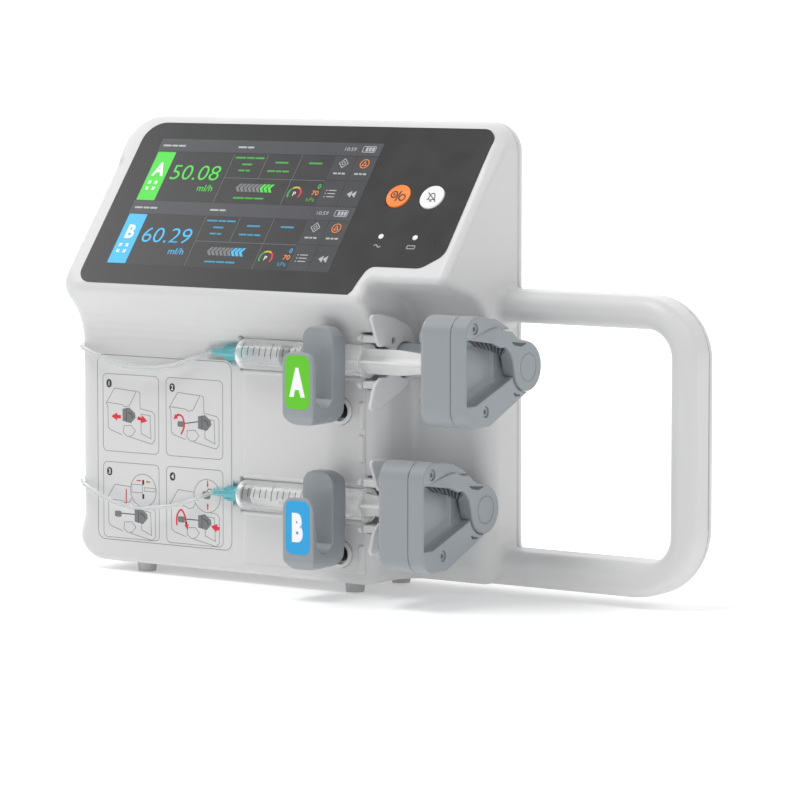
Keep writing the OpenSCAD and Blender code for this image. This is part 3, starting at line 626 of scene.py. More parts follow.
def coil_path(cx):
    """Flat winding in four levels, both ends on the outside."""
    out = []
    turn = math.tau
    total = PER_LEVEL * LEVELS
    count = round(total * 20)
    for i in range(count + 1):
        t = total * i / count
        level = min(int(t / PER_LEVEL), LEVELS - 1)
        s = t / PER_LEVEL - level
        reach = PER_LEVEL * PITCH * (s if level % 2 == 0 else 1 - s)
        lift = sum(ramp((t - k * PER_LEVEL) * 360 + 90, 0, 180) for k in range(1, LEVELS))
        a = -math.pi / 2 + t * turn
        r = COIL_R - reach
        out.append(Vector((cx + r * math.cos(a), COIL_Y + r * math.sin(a), 1.25 + PITCH * float(lift))))
    return out


LINES = {}
for ch in "ab":
    cx = COIL_X[ch]
    lead = spline([(START_X, SYRINGE_Y, AXIS[ch])] + ROUTE[ch] + [(cx, COIL_Y - COIL_R, 1.25)], 2)
    rear = COIL_Y + COIL_R
    tail = spline([(cx, rear, 8.6), (cx - 6, rear, 8.2), (cx - 12, rear, 5.4),
                   (cx - 18, rear, 3.7), (cx - 22, rear, 3.6)], 3)
    path = lead[:-1] + coil_path(cx)[:-1] + tail
    curve = bpy.data.curves.new("infusion_line_" + ch, "CURVE")
    curve.dimensions = "3D"
    curve.bevel_depth = LINE_D / 2 * MM
    curve.bevel_resolution = 3
    curve.use_fill_caps = True
    run = curve.splines.new("POLY")
    run.points.add(len(path) - 1)
    for point, place in zip(run.points, path):
        point.co = (*(place * MM), 1)
    ob = put("infusion_line_" + ch, curve)
    curve.materials.append(MAT["line_pvc"])
    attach(ob, "housing")
    LINES[ch] = sum((q - p).length for p, q in zip(path, path[1:]))
    ends = lathe(
        "line_connector_" + ch,
        [(cx - 34, 1.2), (cx - 34, 3.1), (cx - 33.4, 3.5), (cx - 26.6, 3.5), (cx - 26, 3.1),
         (cx - 26, 2.2), (cx - 19.3, 2.2), (cx - 19, 1.3)],
        rear, 3.6, 32,
    )
    dress(ends, "luer_teal")
    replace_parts(ob, "line_" + ch, "line_coils")
    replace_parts(ends, "line_ends")
print("line lengths in mm", LINES)

# ---------- housing ----------
SIDE, SIDE_END = [corner_round([
    (FRONT, -60), (FRONT, 140.3, 30), (-34.7, 161.3, nose), (REAR, 276.6), (REAR, -60)]) for nose in (5, 13)]
BODY_OUT = corner_round([
    (LEFT, BASE, 17), (RIGHT, BASE, 10), (RIGHT, TOP, 16), (LEFT, TOP, 16)])
CHANNEL = corner_round([
    (-100, -60), (CHANNEL_Y, -60), (CHANNEL_Y, 159.1, 24), (-100, 192.3)])
LOOP_OUT = corner_round([
    (RIGHT - 12.5, BASE), (OUTER, BASE, 38), (OUTER, HANDLE_TOP, 34), (RIGHT - 12.5, HANDLE_TOP)])
LOOP_IN = corner_round([
    (RIGHT - 19.5, BASE + 19.3), (OUTER - 15.2, BASE + 19.3, 15), (OUTER - 15.2, HANDLE_TOP - 17.5, 15),
    (RIGHT - 19.5, HANDLE_TOP - 17.5)])
WALL = 4.5
GRIP = [on_face(-27.3, v, 3.3) for v in (20, 68)]


def housing_field(x, y, z):
    r = 5 + 6 * ramp(-x, 100, 165)
    r = r + (8 - r) * ramp(z, 222, 240)
    r = r + (7 - r) * ramp(y, 18, 38)
    r = r + (4 - r) * ramp(-z, -32, -14)
    end = ramp(LEFT + 17 - x, 0, 12)
    side = polygon_field(SIDE, y, z) * (1 - end) + polygon_field(SIDE_END, y, z) * end
    d = both(side, polygon_field(BODY_OUT, x, z), r)
    channel = both(BLOCK - x, polygon_field(CHANNEL, y, z), 4)
    d = cut(d, channel, 12 - 8 * ramp(z, 120, 150))
    loop = both(
        np.maximum(polygon_field(LOOP_OUT, x, z), -polygon_field(LOOP_IN, x, z)),
        np.abs(y - (HANDLE_Y + REAR) / 2) - 14, 8)
    near = 5 * ramp(-y, -47, -42) * ramp(z, 8, 14)
    d = join(d, np.maximum(loop, RIGHT - 12 - x), near)
    return cut(d, capsule_field(x, y, z, GRIP[0], GRIP[1], 7.2), 0.4)


def shell_field(x, y, z):
    d = housing_field(x, y, z)
    hollow = np.maximum(d + WALL, x - (RIGHT - 5))
    for ch in "ab":
        h = AXIS[ch]
        lined = np.minimum(
            box_field(x, y, z, (START_X - 16, -30, h - 14), (panel_low[0] + 3, SYRINGE_Y + 14, h + 14)),
            box_field(x, y, z, (FLANGE_X - 4, -30, h - 18), (BLOCK, SYRINGE_Y + 16, h + 18)))
        hollow = np.maximum(hollow, -lined)
    return np.maximum(d, -hollow)


def front_field(x, y, z):
    d = both(shell_field(x, y, z), y - (PART_Y - 0.2), 0.4)
    v = (y - FACE_O.y) * FACE_V.y + (z - FACE_O.z) * FACE_V.z
    w = (y - FACE_O.y) * FACE_N.y + (z - FACE_O.z) * FACE_N.z
    for u in (KEY_U, KEY_U + KEY_GAP):
        well = np.maximum(circle_field(x, v, FACE_O.x + u, KEY_V, 8.3), -7 - w)
        d = cut(d, well, 0.2)
    for ch in "ab":
        h = AXIS[ch]
        hole = np.maximum(circle_field(y, z, TUBE_Y, h, 9.8), slab_field(x, 10, 40))
        d = cut(d, hole, 0.5)
        slot = box_field(x, y, z, (11.4, -60, h - 15.6), (21.9, SYRINGE_Y + 12, h + 15.6), 1)
        d = cut(d, slot, 0.6)
        trough = np.maximum(circle_field(y, z, SYRINGE_Y, h, 9.6), slab_field(x, -73.5, 14))
        d = cut(d, trough, 0.5)
        scoop = capsule_field(x, y, z, (START_X - 4, SYRINGE_Y - 0.6, h), (-60, SYRINGE_Y + 0.4, h), 5.4)
        d = cut(d, scoop, 2.5)
        shaft = np.maximum(circle_field(x, z, CLAMP_X, h - CLAMP_DROP, 7.6), y - 4)
        d = cut(d, shaft, 0.5)
    return d


def rear_field(x, y, z):
    d = both(shell_field(x, y, z), PART_Y + 0.2 - y, 0.4)
    inlet = box_field(x, y, z, (-150, 38, 20), (-122.4, 60, 40), 1)
    d = cut(d, inlet, 0.5)
    for i in range(7):
        vent = box_field(x, y, z, (-90 + 12 * i, 38, 150), (-86 + 12 * i, 60, 185), 1.8)
        d = cut(d, vent, 0.4)
    for px, pz in ((-176, 24), (-176, 230), (55, 235), (-60, 20)):
        hole = np.maximum(circle_field(x, z, px, pz, 3.6), REAR - 2.6 - y)
        d = cut(d, hole, 0.3)
    return d


coarse = 1.0
front_shell = solid("housing_front", [
    grid_line((-193, 1.25 * coarse), (-150, 3), (-100, 1.25 * coarse), (-68, 2.5), (8, 1.1 * coarse),
              (74, 2.5), (150, 1.25 * coarse), 193),
    grid_line((-49, 1.1 * coarse), 48),
    grid_line((3, 1.1 * coarse), (30, 1.25 * coarse), (68, 2.2), (110, 1.1 * coarse), (172, 2.2),
              (236, 1.1 * coarse), 257.5),
], front_field)
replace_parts(dress(front_shell, "housing_white"), "front_shell")
rear_shell = solid("housing_rear", [
    grid_line((-193, 1.2 * coarse), (-14, 2.4), (150, 1.3 * coarse), 193),
    grid_line((PART_Y - 2, 0.9 * coarse), REAR + 2),
    grid_line((3, 1.2 * coarse), (44, 2.4), (146, 1.2 * coarse), (190, 2.2), (236, 1.2 * coarse), 257.5),
], rear_field)
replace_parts(dress(rear_shell, "housing_white"), "rear_shell")


def panel_field(x, y, z):
    d = box_field(x, y, z, panel_low[:1] + [FRONT - 0.4, panel_low[2]],
                  [panel_high[0], FRONT + 1.5, panel_high[2]], 0.6)
    for ch in "ab":
        h = AXIS[ch]
        ring = circle_field(y, z, SYRINGE_Y, h, 10.3)
        ring = np.maximum(ring, slab_field(x, panel_low[0], FLANGE_X - 3))
        shelf = np.maximum(ring, both(SYRINGE_Y - 0.6 - y, z - (h - 7), 0.5))
        shelf = np.maximum(shelf, -23.6 - y)
        behind = np.maximum(ring, SYRINGE_Y - 0.6 - y)
        d = join(d, np.minimum(shelf, behind), 0.8)
        d = cut(d, circle_field(y, z, SYRINGE_Y, h, 8.6), 1.2)
        d = cut(d, circle_field(x, z, CLAMP_X, h - CLAMP_DROP, 7.5), 0.4)
    for h in (AXIS["b"] - 30, AXIS["b"] + 30, AXIS["a"] - 30):
        d = join(d, box_field(x, y, z, (7.4, FRONT - 1.8, h - 7.5), (10.8, FRONT + 0.6, h + 7.5), 1), 0.5)
    return d


panel = solid("syringe_panel_skin", [
    grid_line((panel_low[0] - 1, 1.3), (-8, 0.9), panel_high[0] + 1),
    grid_line((-26, 0.75), -3.5),
    grid_line((panel_low[2] - 1, 0.85), panel_high[2] + 1),
], panel_field)
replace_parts(dress(panel, "housing_white"), "syringe_panel")

# ---------- glass and screen ----------
GLASS = corner_round([
    (-15, -13, 9), (172.6, -13), (174.5, -10.5, 2), (176, -3.5, 3), (178.8, 5.6, 6), (212, 5.6, 9),
    (224, 14.6, 9), (224, 97.3, 8), (-15, 97.3, 13)], 10)
GLASS_TOP = 0.25
holes = [disc(u, KEY_V, 7.9, 48) for u in (KEY_U, KEY_U + KEY_GAP)]


def holed_slice(name, outline, rings, lo, hi, place):
    """Prism with round holes: the ends are filled between the loops."""
    bm = bmesh.new()
    loops = []
    for pts in [outline] + rings:
        loop = [bm.verts.new(Vector(place(p[0], p[1], hi)) * MM) for p in pts]
        for i in range(len(loop)):
            bm.edges.new((loop[i], loop[(i + 1) % len(loop)]))
        loops.append(loop)
    made = bmesh.ops.triangle_fill(bm, use_beauty=True, edges=bm.edges[:])
    faces = [g for g in made["geom"] if isinstance(g, bmesh.types.BMFace)]
    grown = bmesh.ops.extrude_face_region(bm, geom=faces, use_keep_orig=True)
    down = Vector(place(0, 0, lo)) - Vector(place(0, 0, hi))
    verts = [g for g in grown["geom"] if isinstance(g, bmesh.types.BMVert)]
    bmesh.ops.translate(bm, verts=verts, vec=down * MM)
    bmesh.ops.recalc_face_normals(bm, faces=bm.faces)
    mesh = bpy.data.meshes.new(name)
    bm.to_mesh(mesh)
    bm.free()
    mesh.polygons.foreach_set("use_smooth", [True] * len(mesh.polygons))
    mesh.set_sharp_from_angle(angle=math.radians(35))
    return put(name, mesh)


glass = holed_slice("front_glass", GLASS, holes, -1.5, GLASS_TOP, on_face)
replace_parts(dress(soften(glass, 0.35), "front_glass"), "screen_glass")

rows = {"a": 0.0, "b": -43.0}
ground = [slice_of(oblong(0, 0, LCD_W, LCD_H - 9, 0.4), GLASS_TOP - 0.2, GLASS_TOP + 0.02, on_face)]
dress(weld("screen_ground", ground), "display", mat=INK["screen"])
head_bar = [slice_of(oblong(0, v, LCD_W, v + 8.6, 0.4), GLASS_TOP - 0.2, GLASS_TOP + 0.03, on_face)
            for v in (LCD_H - 8.6, LCD_H - 51.6)]
dress(weld("screen_header", head_bar), "display", mat=INK["screen_top"])
T0, T1, T2 = GLASS_TOP, GLASS_TOP + 0.05, GLASS_TOP + 0.09
prints = {k: [] for k in INK}


def ink(kind, outline, hi=T1):
    prints[kind].append(slice_of(outline, T0, hi, on_face))


def ink_frame(kind, outline, width, hi=T2):
    prints[kind].append(band_of(outline, width, T0, hi, on_face))


def ink_line(kind, points, width, hi=T1):
    ink(kind, stroke(points, width), hi)


def ink_words(kind, text, u, v, h, stretch=1.0, bold=0.0, hi=T1):
    prints[kind].append(words(text, u, v, h, T0, hi, on_face, stretch, bold))


def ink_dashes(kind, u, v, length, height, count=3, hi=T1):
    for bar in dashes(u, v, length, height, count):
        ink(kind, bar, hi)


for ch, up in rows.items():
    tint = "green" if ch == "a" else "blue"
    text = tint + "_text"
    ink(tint, oblong(1.0, 43.4 + up, 13.9, 76.8 + up, 0.6))
    ink_words("white", ch.upper(), 7.6, 64.8 + up, 8.6, 0.85, 0.03, T2)
    for su in (-1, 1):
        for sv in (-1, 1):
            cu, cv = 7 + 2.9 * su, 53.6 + up + 2.7 * sv
            ink_line("white", [(cu - 1.9 * su, cv), (cu, cv), (cu, cv - 1.9 * sv)], 0.6, T2)
            ink_line("white", [(cu - 1.7 * su, cv - 1.7 * sv), (cu, cv)], 0.5, T2 + 0.02)
    ink_words(tint, "50.08" if ch == "a" else "60.29", 34.3, 63.1 + up, 10, 1.1, -0.008)
    ink_words(tint, "ml/h", 45.6, 52.8 + up, 4.2, 1.05)
    ink_line("grey", [(55.7, 43.4 + up), (55.7, 76.8 + up)], 0.25)
    ink_line("grey", [(55.7, 60.2 + up), (125.3, 60.2 + up)], 0.25)
    for u, lo, hi in ((79.3, 60.4, 76.8), (102.7, 60.4, 76.8), (102.4, 43.4, 60)):
        ink_line("grey", [(u, lo + up), (u, hi + up)], 0.25)
    for u0, u1 in ((125.6, 139.8), (140.3, 154)):
        for v0, v1 in ((60.9, 76.9), (43.6, 60.3)):
            ink("key_ground", oblong(u0, v0 + up, u1, v1 + up, 0.5))
    for r, width in ((3.3, 0.45), (1.5, 0.35)):
        ink_frame("pale", disc(132.8, 72.2 + up, r, 4), width)
    ink_frame("orange", disc(146.9, 72.2 + up, 3.0), 0.4)
    ink_frame("orange", [(145.2, 70.9 + up), (148.6, 70.9 + up), (146.9, 74 + up)], 0.35)
    for u in (132.6, 146.9):
        ink_dashes("pale", u, 65.3 + up, 8, 1.1, 3, T2)
    for k in range(3):
        ink_line("pale", [(130.8, 53.9 - 2.1 * k + up), (136, 53.9 - 2.1 * k + up)], 0.55, T2)
        ink("pale", disc(129.4, 53.9 - 2.1 * k + up, 0.4, 12), T2)
    for u in (143.9, 146.8):
        ink("pale", [(u, 51.8 + up), (u + 2.9, 54.1 + up), (u + 2.9, 49.5 + up)], T2)
    for k in range(9):
        kind = tint if k >= 6 else "grey"
        u = 68.8 + 2.75 * k
        ink(kind, [(u, 56.6 + up), (u + 1.9, 56.6 + up), (u - 0.1, 53.9 + up), (u + 1.9, 51.2 + up),
                   (u, 51.2 + up), (u - 2.0, 53.9 + up)])
    ink_dashes(text, 78.6, 46.9 + up, 21, 1.1, 3)
    for kind, a0, a1 in (("green_text", 125, 215), ("yellow", 55, 123), ("red", -35, 53)):
        arc = [(108.5 + 4.2 * math.cos(math.radians(a0 + (a1 - a0) * k / 10)),
                51 + up + 4.2 * math.sin(math.radians(a0 + (a1 - a0) * k / 10))) for k in range(11)]
        ink_line(kind, arc, 1.0)
    ink_words("white", "P", 108.5, 50.8 + up, 2.9)
    ink_words(tint, "0", 123.5, 56.3 + up, 3.0)
    ink_words("orange", "70", 122.4, 51.9 + up, 3.0, 1.1)
    ink_words(text, "kPa", 121.1, 47.4 + up, 2.6, 1.15)
    for u, v, w, n in ((67.4, 74.1, 20, 3), (67.3, 69.7, 7, 1), (67.2, 65.5, 8, 2), (90.8, 71.5, 9, 1),
                       (90.8, 65.6, 15, 3), (114, 71.6, 9, 1)):
        ink_dashes(text, u, v + up, w, 1.1, n)
    ink_dashes("pale", 10.5, 81.3 + up, 16, 1.2, 3)
    ink_dashes("pale", 61.5, 81.3 + up, 11, 1.2, 2)
    ink_words("pale", "10:59", 133.4, 81.8 + up, 2.3, 1.15)
    ink_frame("pale", oblong(141.4, 79.8 + up, 150.2, 84 + up, 0.9), 0.4)
    for k in range(3):
        ink("pale", oblong(143.6 + 2.1 * k, 80.6 + up, 145.1 + 2.1 * k, 83.2 + up, 0.2), T2)
# signs under the lamps
ink_line("pale", [(176.2 + 0.28 * k, 18.8 + 0.8 * math.sin(k * 0.393)) for k in range(17)], 0.5)
ink_frame("pale", oblong(197.8, 17.6, 203.2, 20.0, 0.6), 0.45, T1)
for kind, parts in prints.items():
    if parts:
        dress(weld("screen_" + kind, parts), "display", mat=INK[kind])

# keys with a dished cap, and lamps
for u, name, key_slot, body, node in (
        (KEY_U, "key_power_cap", "key_orange", "power_key", "button_power"),
        (KEY_U + KEY_GAP, "key_mute_cap", "key_white", "mute_key", "button_mute")):
    profile = [(-4.5, 7.5), (0.35, 7.5), (0.75, 7.25), (0.85, 6.9), (0.7, 6.3), (0.55, 5.0), (0.5, 3.0),
               (0.5, 0.01)]
    cap = weld(name, [tower([[on_face(a, b, w) for a, b in disc(u, KEY_V, r, 64)] for w, r in profile])])
    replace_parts(dress(cap, key_slot, body), node)
    level = (0.4, 0.62, on_face)
    if node == "button_power":
        sign = [band_of(disc(u + 2.9 * side, KEY_V - 0.9 * side, 2.3, 28), 0.75, *level) for side in (-1, 1)]
        sign.append(slice_of(disc(u - 2.9, KEY_V + 0.9, 0.7, 12), *level))
        sign.append(slice_of(stroke([(u - 0.9, KEY_V - 3.4), (u + 0.9, KEY_V + 3.4)], 0.75), *level))
    else:
        bell = [(u - 3, KEY_V - 1.7), (u - 2.1, KEY_V - 0.9), (u - 1.9, KEY_V + 1), (u - 0.9, KEY_V + 2.6),
                (u + 0.9, KEY_V + 2.6), (u + 1.9, KEY_V + 1), (u + 2.1, KEY_V - 0.9), (u + 3, KEY_V - 1.7)]
        sign = [band_of(bell, 0.45, *level),
                slice_of(oblong(u - 0.8, KEY_V - 2.9, u + 0.8, KEY_V - 2.2, 0.3), *level),
                slice_of(stroke([(u - 3.4, KEY_V + 3), (u + 3.4, KEY_V - 3)], 0.45), *level)]
    dress(weld(name + "_mark", sign), key_slot, body, INK["dark"])
lamp_parts = [slice_of(disc(u, 25, 1.6, 32), -1.0, T1 + 0.25, on_face)
              for u in (KEY_U, KEY_U + KEY_GAP + 0.2)]
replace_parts(dress(soften(weld("lamp_caps", lamp_parts), 0.3), "lamp"), "indicators")

# ---------- printed label ----------
base = [slice_of(oblong(-176, 16.5, -79, 123, 5), -0.25, 0.06, on_front)]
label = weld("instruction_film", base)
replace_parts(dress(label, "label_print"), "instruction_label")
INK["film"] = MAT["label_print"]
marks = {k: [] for k in INK}
F0, F1, F2, F3 = 0.04, 0.09, 0.12, 0.15


def mark(kind, outline, hi=F2):
    marks[kind].append(slice_of(outline, F0, hi, on_front))


def pen(kind, points, width, hi=F2):
    mark(kind, stroke(points, width), hi)


def closed_line(points, width=0.32, hi=F1):
    marks["line"].append(band_of(points, width, F0, hi, on_front))


def pictogram(x0, z1, drop):
    """Outline drawing of the unit, from the upper left corner of its frame."""
    def at(*pts):
        return [(x0 + x, z1 + z + drop) for x, z in pts]

    closed_line(at((8.4, -8.0), (24.5, -9.1), (19.1, -17.8), (15.6, -18.5), (13.8, -17.4), (2.4, -16.6)))
    for pts in (
            at((25, -9.1), (26.7, -9.9), (26.9, -18.8), (35.9, -20.2), (37.4, -22), (37.4, -36),
               (35.3, -38.3), (19.1, -35.2)),
            at((2.4, -16.6), (3.6, -18.8), (3.8, -30.5), (5.4, -31.9), (13.8, -34.3))):
        pen("line", pts, 0.32, F1)
    closed_line(at((27.3, -21.6), (34.1, -22.3), (34.7, -35.7), (27.3, -32.9)))
    closed_line(at((15, -29), (20.5, -28.5), (23.6, -31.5), (21, -34.6), (17.5, -35.2), (14.6, -33)))


def blob(x, z, w, h, kind="grey"):
    mark(kind, oblong(x - w / 2, z - h / 2, x + w / 2, z + h / 2, min(w, h) * 0.3))


def small_head(x, z):
    """Filled drawing of a pusher head."""
    shape = [(-4.4, 3.4), (0.4, 4.4), (4.6, 1.4), (5, -1), (1.6, -4.4), (-4.4, -3.4)]
    mark("grey", [(x + a, z + b) for a, b in shape])
    pen("dark", [(x - 1.6, z + 3.8), (x - 1.6, z - 3.6)], 0.3, F3)
    pen("dark", [(x - 0.4, z + 1.6), (x + 2.2, z + 0.6), (x + 2.8, z - 1.4)], 0.4, F3)


def arrow(x, z, tx, tz, width=0.9):
    tip, tail = Vector((tx, tz)), Vector((x, z))
    d = (tip - tail).normalized()
    n = Vector((-d.y, d.x))
    neck = tip - d * width * 2.2
    mark("red", [tuple(q) for q in (tail + n * width / 2, neck + n * width / 2, neck + n * width * 1.2, tip,
                                    neck - n * width * 1.2, neck - n * width / 2, tail - n * width / 2)], F3)


def bow(x0, z1, pts, width=1.0):
    path = [(q.x, q.y) for q in spline([(x0 + x, z1 + z, 0) for x, z in pts], 6)]
    pen("red", path, width, F3)


closed_line(oblong(-175.3, 17.2, -79.7, 122.3, 5), 0.35)
frames = []
for z0, z1 in ((67.5, 111.6), (18.6, 61.7)):
    for x0, x1 in ((-171.3, -131), (-126, -85.8)):
        frames.append((x0, z1))
        closed_line(oblong(x0, z0, x1, z1, 3), 0.3)
        mark("dark", oblong(x0 + 2.7, z1 - 8, x0 + 6.4, z1 - 3.3, 1.8))
        marks["white"].append(words(str(len(frames)), x0 + 4.55, z1 - 5.65, 2.7, F0, F3, on_front, 0.9, 0.01))
        pictogram(x0, z1, 0 if z1 > 100 else -4.6)
(x0, z1), (x2, z2), (x3, z3), (x4, z4) = frames
small_head(x0 + 18.6, z1 - 23)
arrow(x0 + 13, z1 - 24.2, x0 + 6.1, z1 - 24.2, 1.9)
arrow(x0 + 25, z1 - 24.2, x0 + 32, z1 - 25.6, 1.9)
small_head(x2 + 27.1, z2 - 24.2)
pen("dark", [(x2 + 12.6, z2 - 25.4), (x2 + 22.6, z2 - 23.8)], 0.5)
blob(x2 + 10.4, z2 - 25.8, 4.4, 3.2)
bow(x2, z2, [(10.8, -31.5), (13.0, -26.5), (11.6, -21.6), (8.6, -20.6)])
arrow(x2 + 8.8, z2 - 20.5, x2 + 5.4, z2 - 23.4, 1.3)
for bx, bz in ((x3, z3), (x4, z4)):
    lens = disc(bx + 28.9, bz - 15, 9.4, 48)
    mark("film", lens, F1 + 0.01)
    closed_line(lens, 0.32, F2)
    blob(bx + 10.6, bz - 29.4, 4.8, 3.4)
    small_head(bx + 26.9, bz - 29.7)
    pen("dark", [(bx + 12.8, bz - 29), (bx + 22.6, bz - 29)], 0.5)
arrow(x3 + 16.5, z3 - 14.8, x3 + 16.5, z3 - 24, 0.7)
for xa, za, xb, zb in ((20.4, -16.6, 28.4, -11.8), (29.4, -15.4, 37.6, -13.2)):
    closed_line([(x3 + xa, z3 + za), (x3 + xb, z3 + za), (x3 + xb, z3 + zb), (x3 + xa, z3 + zb)], 0.3, F2)
for z in (-10.4, -18.4):
    mark("dark", oblong(x3 + 28.1, z3 + z - 1.4, x3 + 29.5, z3 + z + 1.4, 0.4))
arrow(x3 + 24, z3 - 9.6, x3 + 27.4, z3 - 9.7, 0.6)
arrow(x3 + 34, z3 - 10, x3 + 30.6, z3 - 9.9, 0.6)
blob(x4 + 28.4, z4 - 14.6, 5.6, 4.2)
pen("dark", [(x4 + 29, z4 - 12.5), (x4 + 29.8, z4 - 11), (x4 + 32, z4 - 11.2), (x4 + 36.8, z4 - 14.6)], 0.4)
arrow(x4 + 29.3, z4 - 6.4, x4 + 29.3, z4 - 10.2, 0.7)
arrow(x4 + 29.3, z4 - 22.8, x4 + 29.3, z4 - 19, 0.7)
bow(x4, z4, [(7.4, -32.9), (7.6, -27.5), (10.4, -23.9), (13, -27), (14.2, -31.6)])
arrow(x4 + 13.8, z4 - 30.4, x4 + 14.9, z4 - 34.9, 1.3)
arrow(x4 + 37.6, z4 - 32.9, x4 + 31.4, z4 - 31.7, 2.0)
for kind, parts in marks.items():
    if parts:
        dress(weld("label_" + kind, parts), "label_print", mat=INK[kind])

# ---------- clamps ----------
SLOT_R = 7.05


def clamp_field(x, y, z):
    """Channel A clamp: rear wall, floor and front paddle round an open slot."""
    yc, zc = y - CLAMP_HIGH[1], z - AXIS["a"]
    rear = polygon_field(CLAMP_REAR, yc, zc)
    front = polygon_field(CLAMP_FRONT, yc, zc)
    side = join(rear, front, 0.6)
    slot = circle_field(yc, zc, -19.5, np.clip(zc, -16.8, 40), SLOT_R)
    side = cut(side, slot, 0.6)
    tall = polygon_field(CLAMP_TALL, x, zc)
    low = polygon_field(CLAMP_SHORT, x, zc)
    t = ramp(-yc, 13, 15)
    return both(side, tall * (1 - t) + low * t, 0.9)


CLAMP_REAR = corner_round([
    (0, 15, 4), (-4, 19.7, 4), (-12.2, 19.7, 2), (-12.2, -33.4), (-4.5, -33.4, 3), (-1.8, -28, 6),
    (0, -10, 6)])
CLAMP_FRONT = corner_round([
    (-11, -20), (-26.6, -20), (-26.8, 5.2), (-28.4, 6.8, 1.2), (-30.2, 5.8, 1.6), (-30, -28, 4),
    (-26, -33.4, 4), (-11, -33.4)])
CLAMP_TALL = oblong(CLAMP_X - 10.3, -33.4, CLAMP_X + 10.3, 19.7, 8)
CLAMP_SHORT = oblong(CLAMP_X - 10.3, -33.4, CLAMP_X + 10.3, 6.8, 7)
step = 0.6
shift_b = AXIS["b"] - AXIS["a"]
clamp_mesh = solid("clamp_body_a", even_grid(CLAMP_LOW, CLAMP_HIGH, step), clamp_field)


def copy_to(ob, name, move):
    """Copy of a mesh piece, moved in millimetres."""
    mesh = ob.data.copy()
    mesh.transform(Matrix.Translation(Vector(move) * MM))
    return put(name, mesh)


def paddle(x, z, w):
    return (x, CLAMP_LOW[1] + 0.22 - w, z)


for ch, tint in (("a", "label_green"), ("b", "label_blue")):
    h = AXIS[ch]
    ob = clamp_mesh if ch == "a" else copy_to(clamp_mesh, "clamp_body_b", (0, 0, shift_b))
    arm = "clamp_arm_" + ch
    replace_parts(dress(ob, "grey_plastic", arm), "clamp_" + ch)
    film = weld("clamp_film_" + ch, [slice_of(
        oblong(CLAMP_X - 8.1, h - 24.1, CLAMP_X + 8.1, h + 4.9, 4.2), -0.4, 0.25, paddle)])
    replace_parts(dress(soften(film, 0.15), tint, arm), "clamp_label_" + ch)
    letter = weld("clamp_letter_" + ch, [words(
        ch.upper(), CLAMP_X, h - 9.6, 13.4, 0.2, 0.34, paddle, 0.62, 0.065)])
    dress(letter, tint, arm, INK["white"])
    cz = h - CLAMP_DROP
    profile = [(FRONT - 1.9, 5.6), (FRONT - 1.9, 7.0), (FRONT - 1.6, 7.4), (FRONT + 3, 7.4),
               (FRONT + 3, 4.1), (FRONT + 0.8, 4.1), (FRONT + 0.8, 5.6)]
    rings = [[(a, y, b) for a, b in disc(CLAMP_X, cz, r, 48)] for y, r in profile]
    ring = weld("clamp_ring_" + ch, [tower(rings, flip=True, closed=True)])
    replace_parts(dress(ring, "plate_white"), "clamp_rings")
    rings = [[(a, y, b) for a, b in disc(CLAMP_X, cz, 3.9, 40)] for y in (-36.0, -14, 22)]
    shaft = weld("clamp_rod_skin_" + ch, [tower(rings, flip=True)])
    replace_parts(dress(shaft, "shaft_steel", "clamp_rod_" + ch), "clamp_shaft_" + ch)

# ---------- pusher heads, made for channel A and copied ----------
HX = HEAD["a"]
HZ = AXIS["a"]
HEAD_DEPTH = 30
SEAM = HX + 20
END = HX + HEAD_DEPTH
HEAD_OUT = hull_outline([
    (-42.5, 19.5, 10), (-42.5, -19.5, 10), (-27, 19.5, 8), (-31, -24, 5), (TUBE_Y, 0, 13)])
POCKET = corner_round([
    (-51.4, 17.5, 1), (-51.4, -17.2, 0.6), (-43, -17.2, 0.8), (-9, -5, 7), (3.4, 13, 4), (3.4, 21),
    (-24, 21, 2), (-27, 17.5, 2)])
SCREWS = ((-34, -21), (-44, 23))


def head_front_field(x, y, z):
    d = both(polygon_field(HEAD_OUT, y, z - HZ), HX - x, 3.2)
    d = both(d, x - SEAM, 0.3)
    return cut(d, np.maximum(circle_field(y, z, SYRINGE_Y, HZ, 11), x - HX - 0.35), 0.2)


def head_rear_field(x, y, z):
    zc = z - HZ
    d = both(polygon_field(HEAD_OUT, y, zc), SEAM + 0.25 - x, 0.3)
    d = both(d, x - END, 0.6)
    pocket = both(polygon_field(POCKET, y, zc), SEAM + 1.6 - x, 4.5)
    d = cut(d, pocket, 0.5)
    d = join(d, capsule_field(x, y, zc, (SEAM + 1.8, -17, -7), (SEAM + 1.8, -17, 11), 1.3), 1.0)
    for py, pz in SCREWS:
        seat = np.maximum(circle_field(y, zc, py, pz, 2.9), END - 2.5 - x)
        d = cut(d, seat, 0.3)
    seat = np.maximum(circle_field(y, zc, TUBE_Y, 0, 13.3), END - 6.6 - x)
    d = cut(d, seat, 0.3)
    d = cut(d, capsule_field(x, y, zc, (END - 1, -8.5, 18.2), (END - 1, 2.5, 15.0), 1.9), 0.5)
    return d


BEAK = corner_round([(-24, 22.6, 3), (-30, 22.3, 1.0), (-48, 18.4, 0.6), (-48, 17.2, 0.4), (-29.5, 14.6, 1),
                     (-20, 11.2, 3), (-12, 18)])
# Edges of the ribbed pad under the beak; the pad's dark colour is painted shade
PAINTED_SHADE_TOP = ((-47.4, 17.3), (-29.5, 14.8), (-14, 9.6))
PAINTED_SHADE_LOW = ((-41, 13.6), (-27, 10.6), (-17, 7.2))


def end_view(x, h):
    """Places outlines drawn in Y and Z, seen along the syringe, at x and the height h of its axis."""
    return lambda a, b, w: (x + w, a, b + h)


def along(line, t):
    """Point at share t of a line of three points."""
    k = min(int(t * 2), 1)
    t = t * 2 - k
    return tuple(line[k][i] * (1 - t) + line[k + 1][i] * t for i in (0, 1))


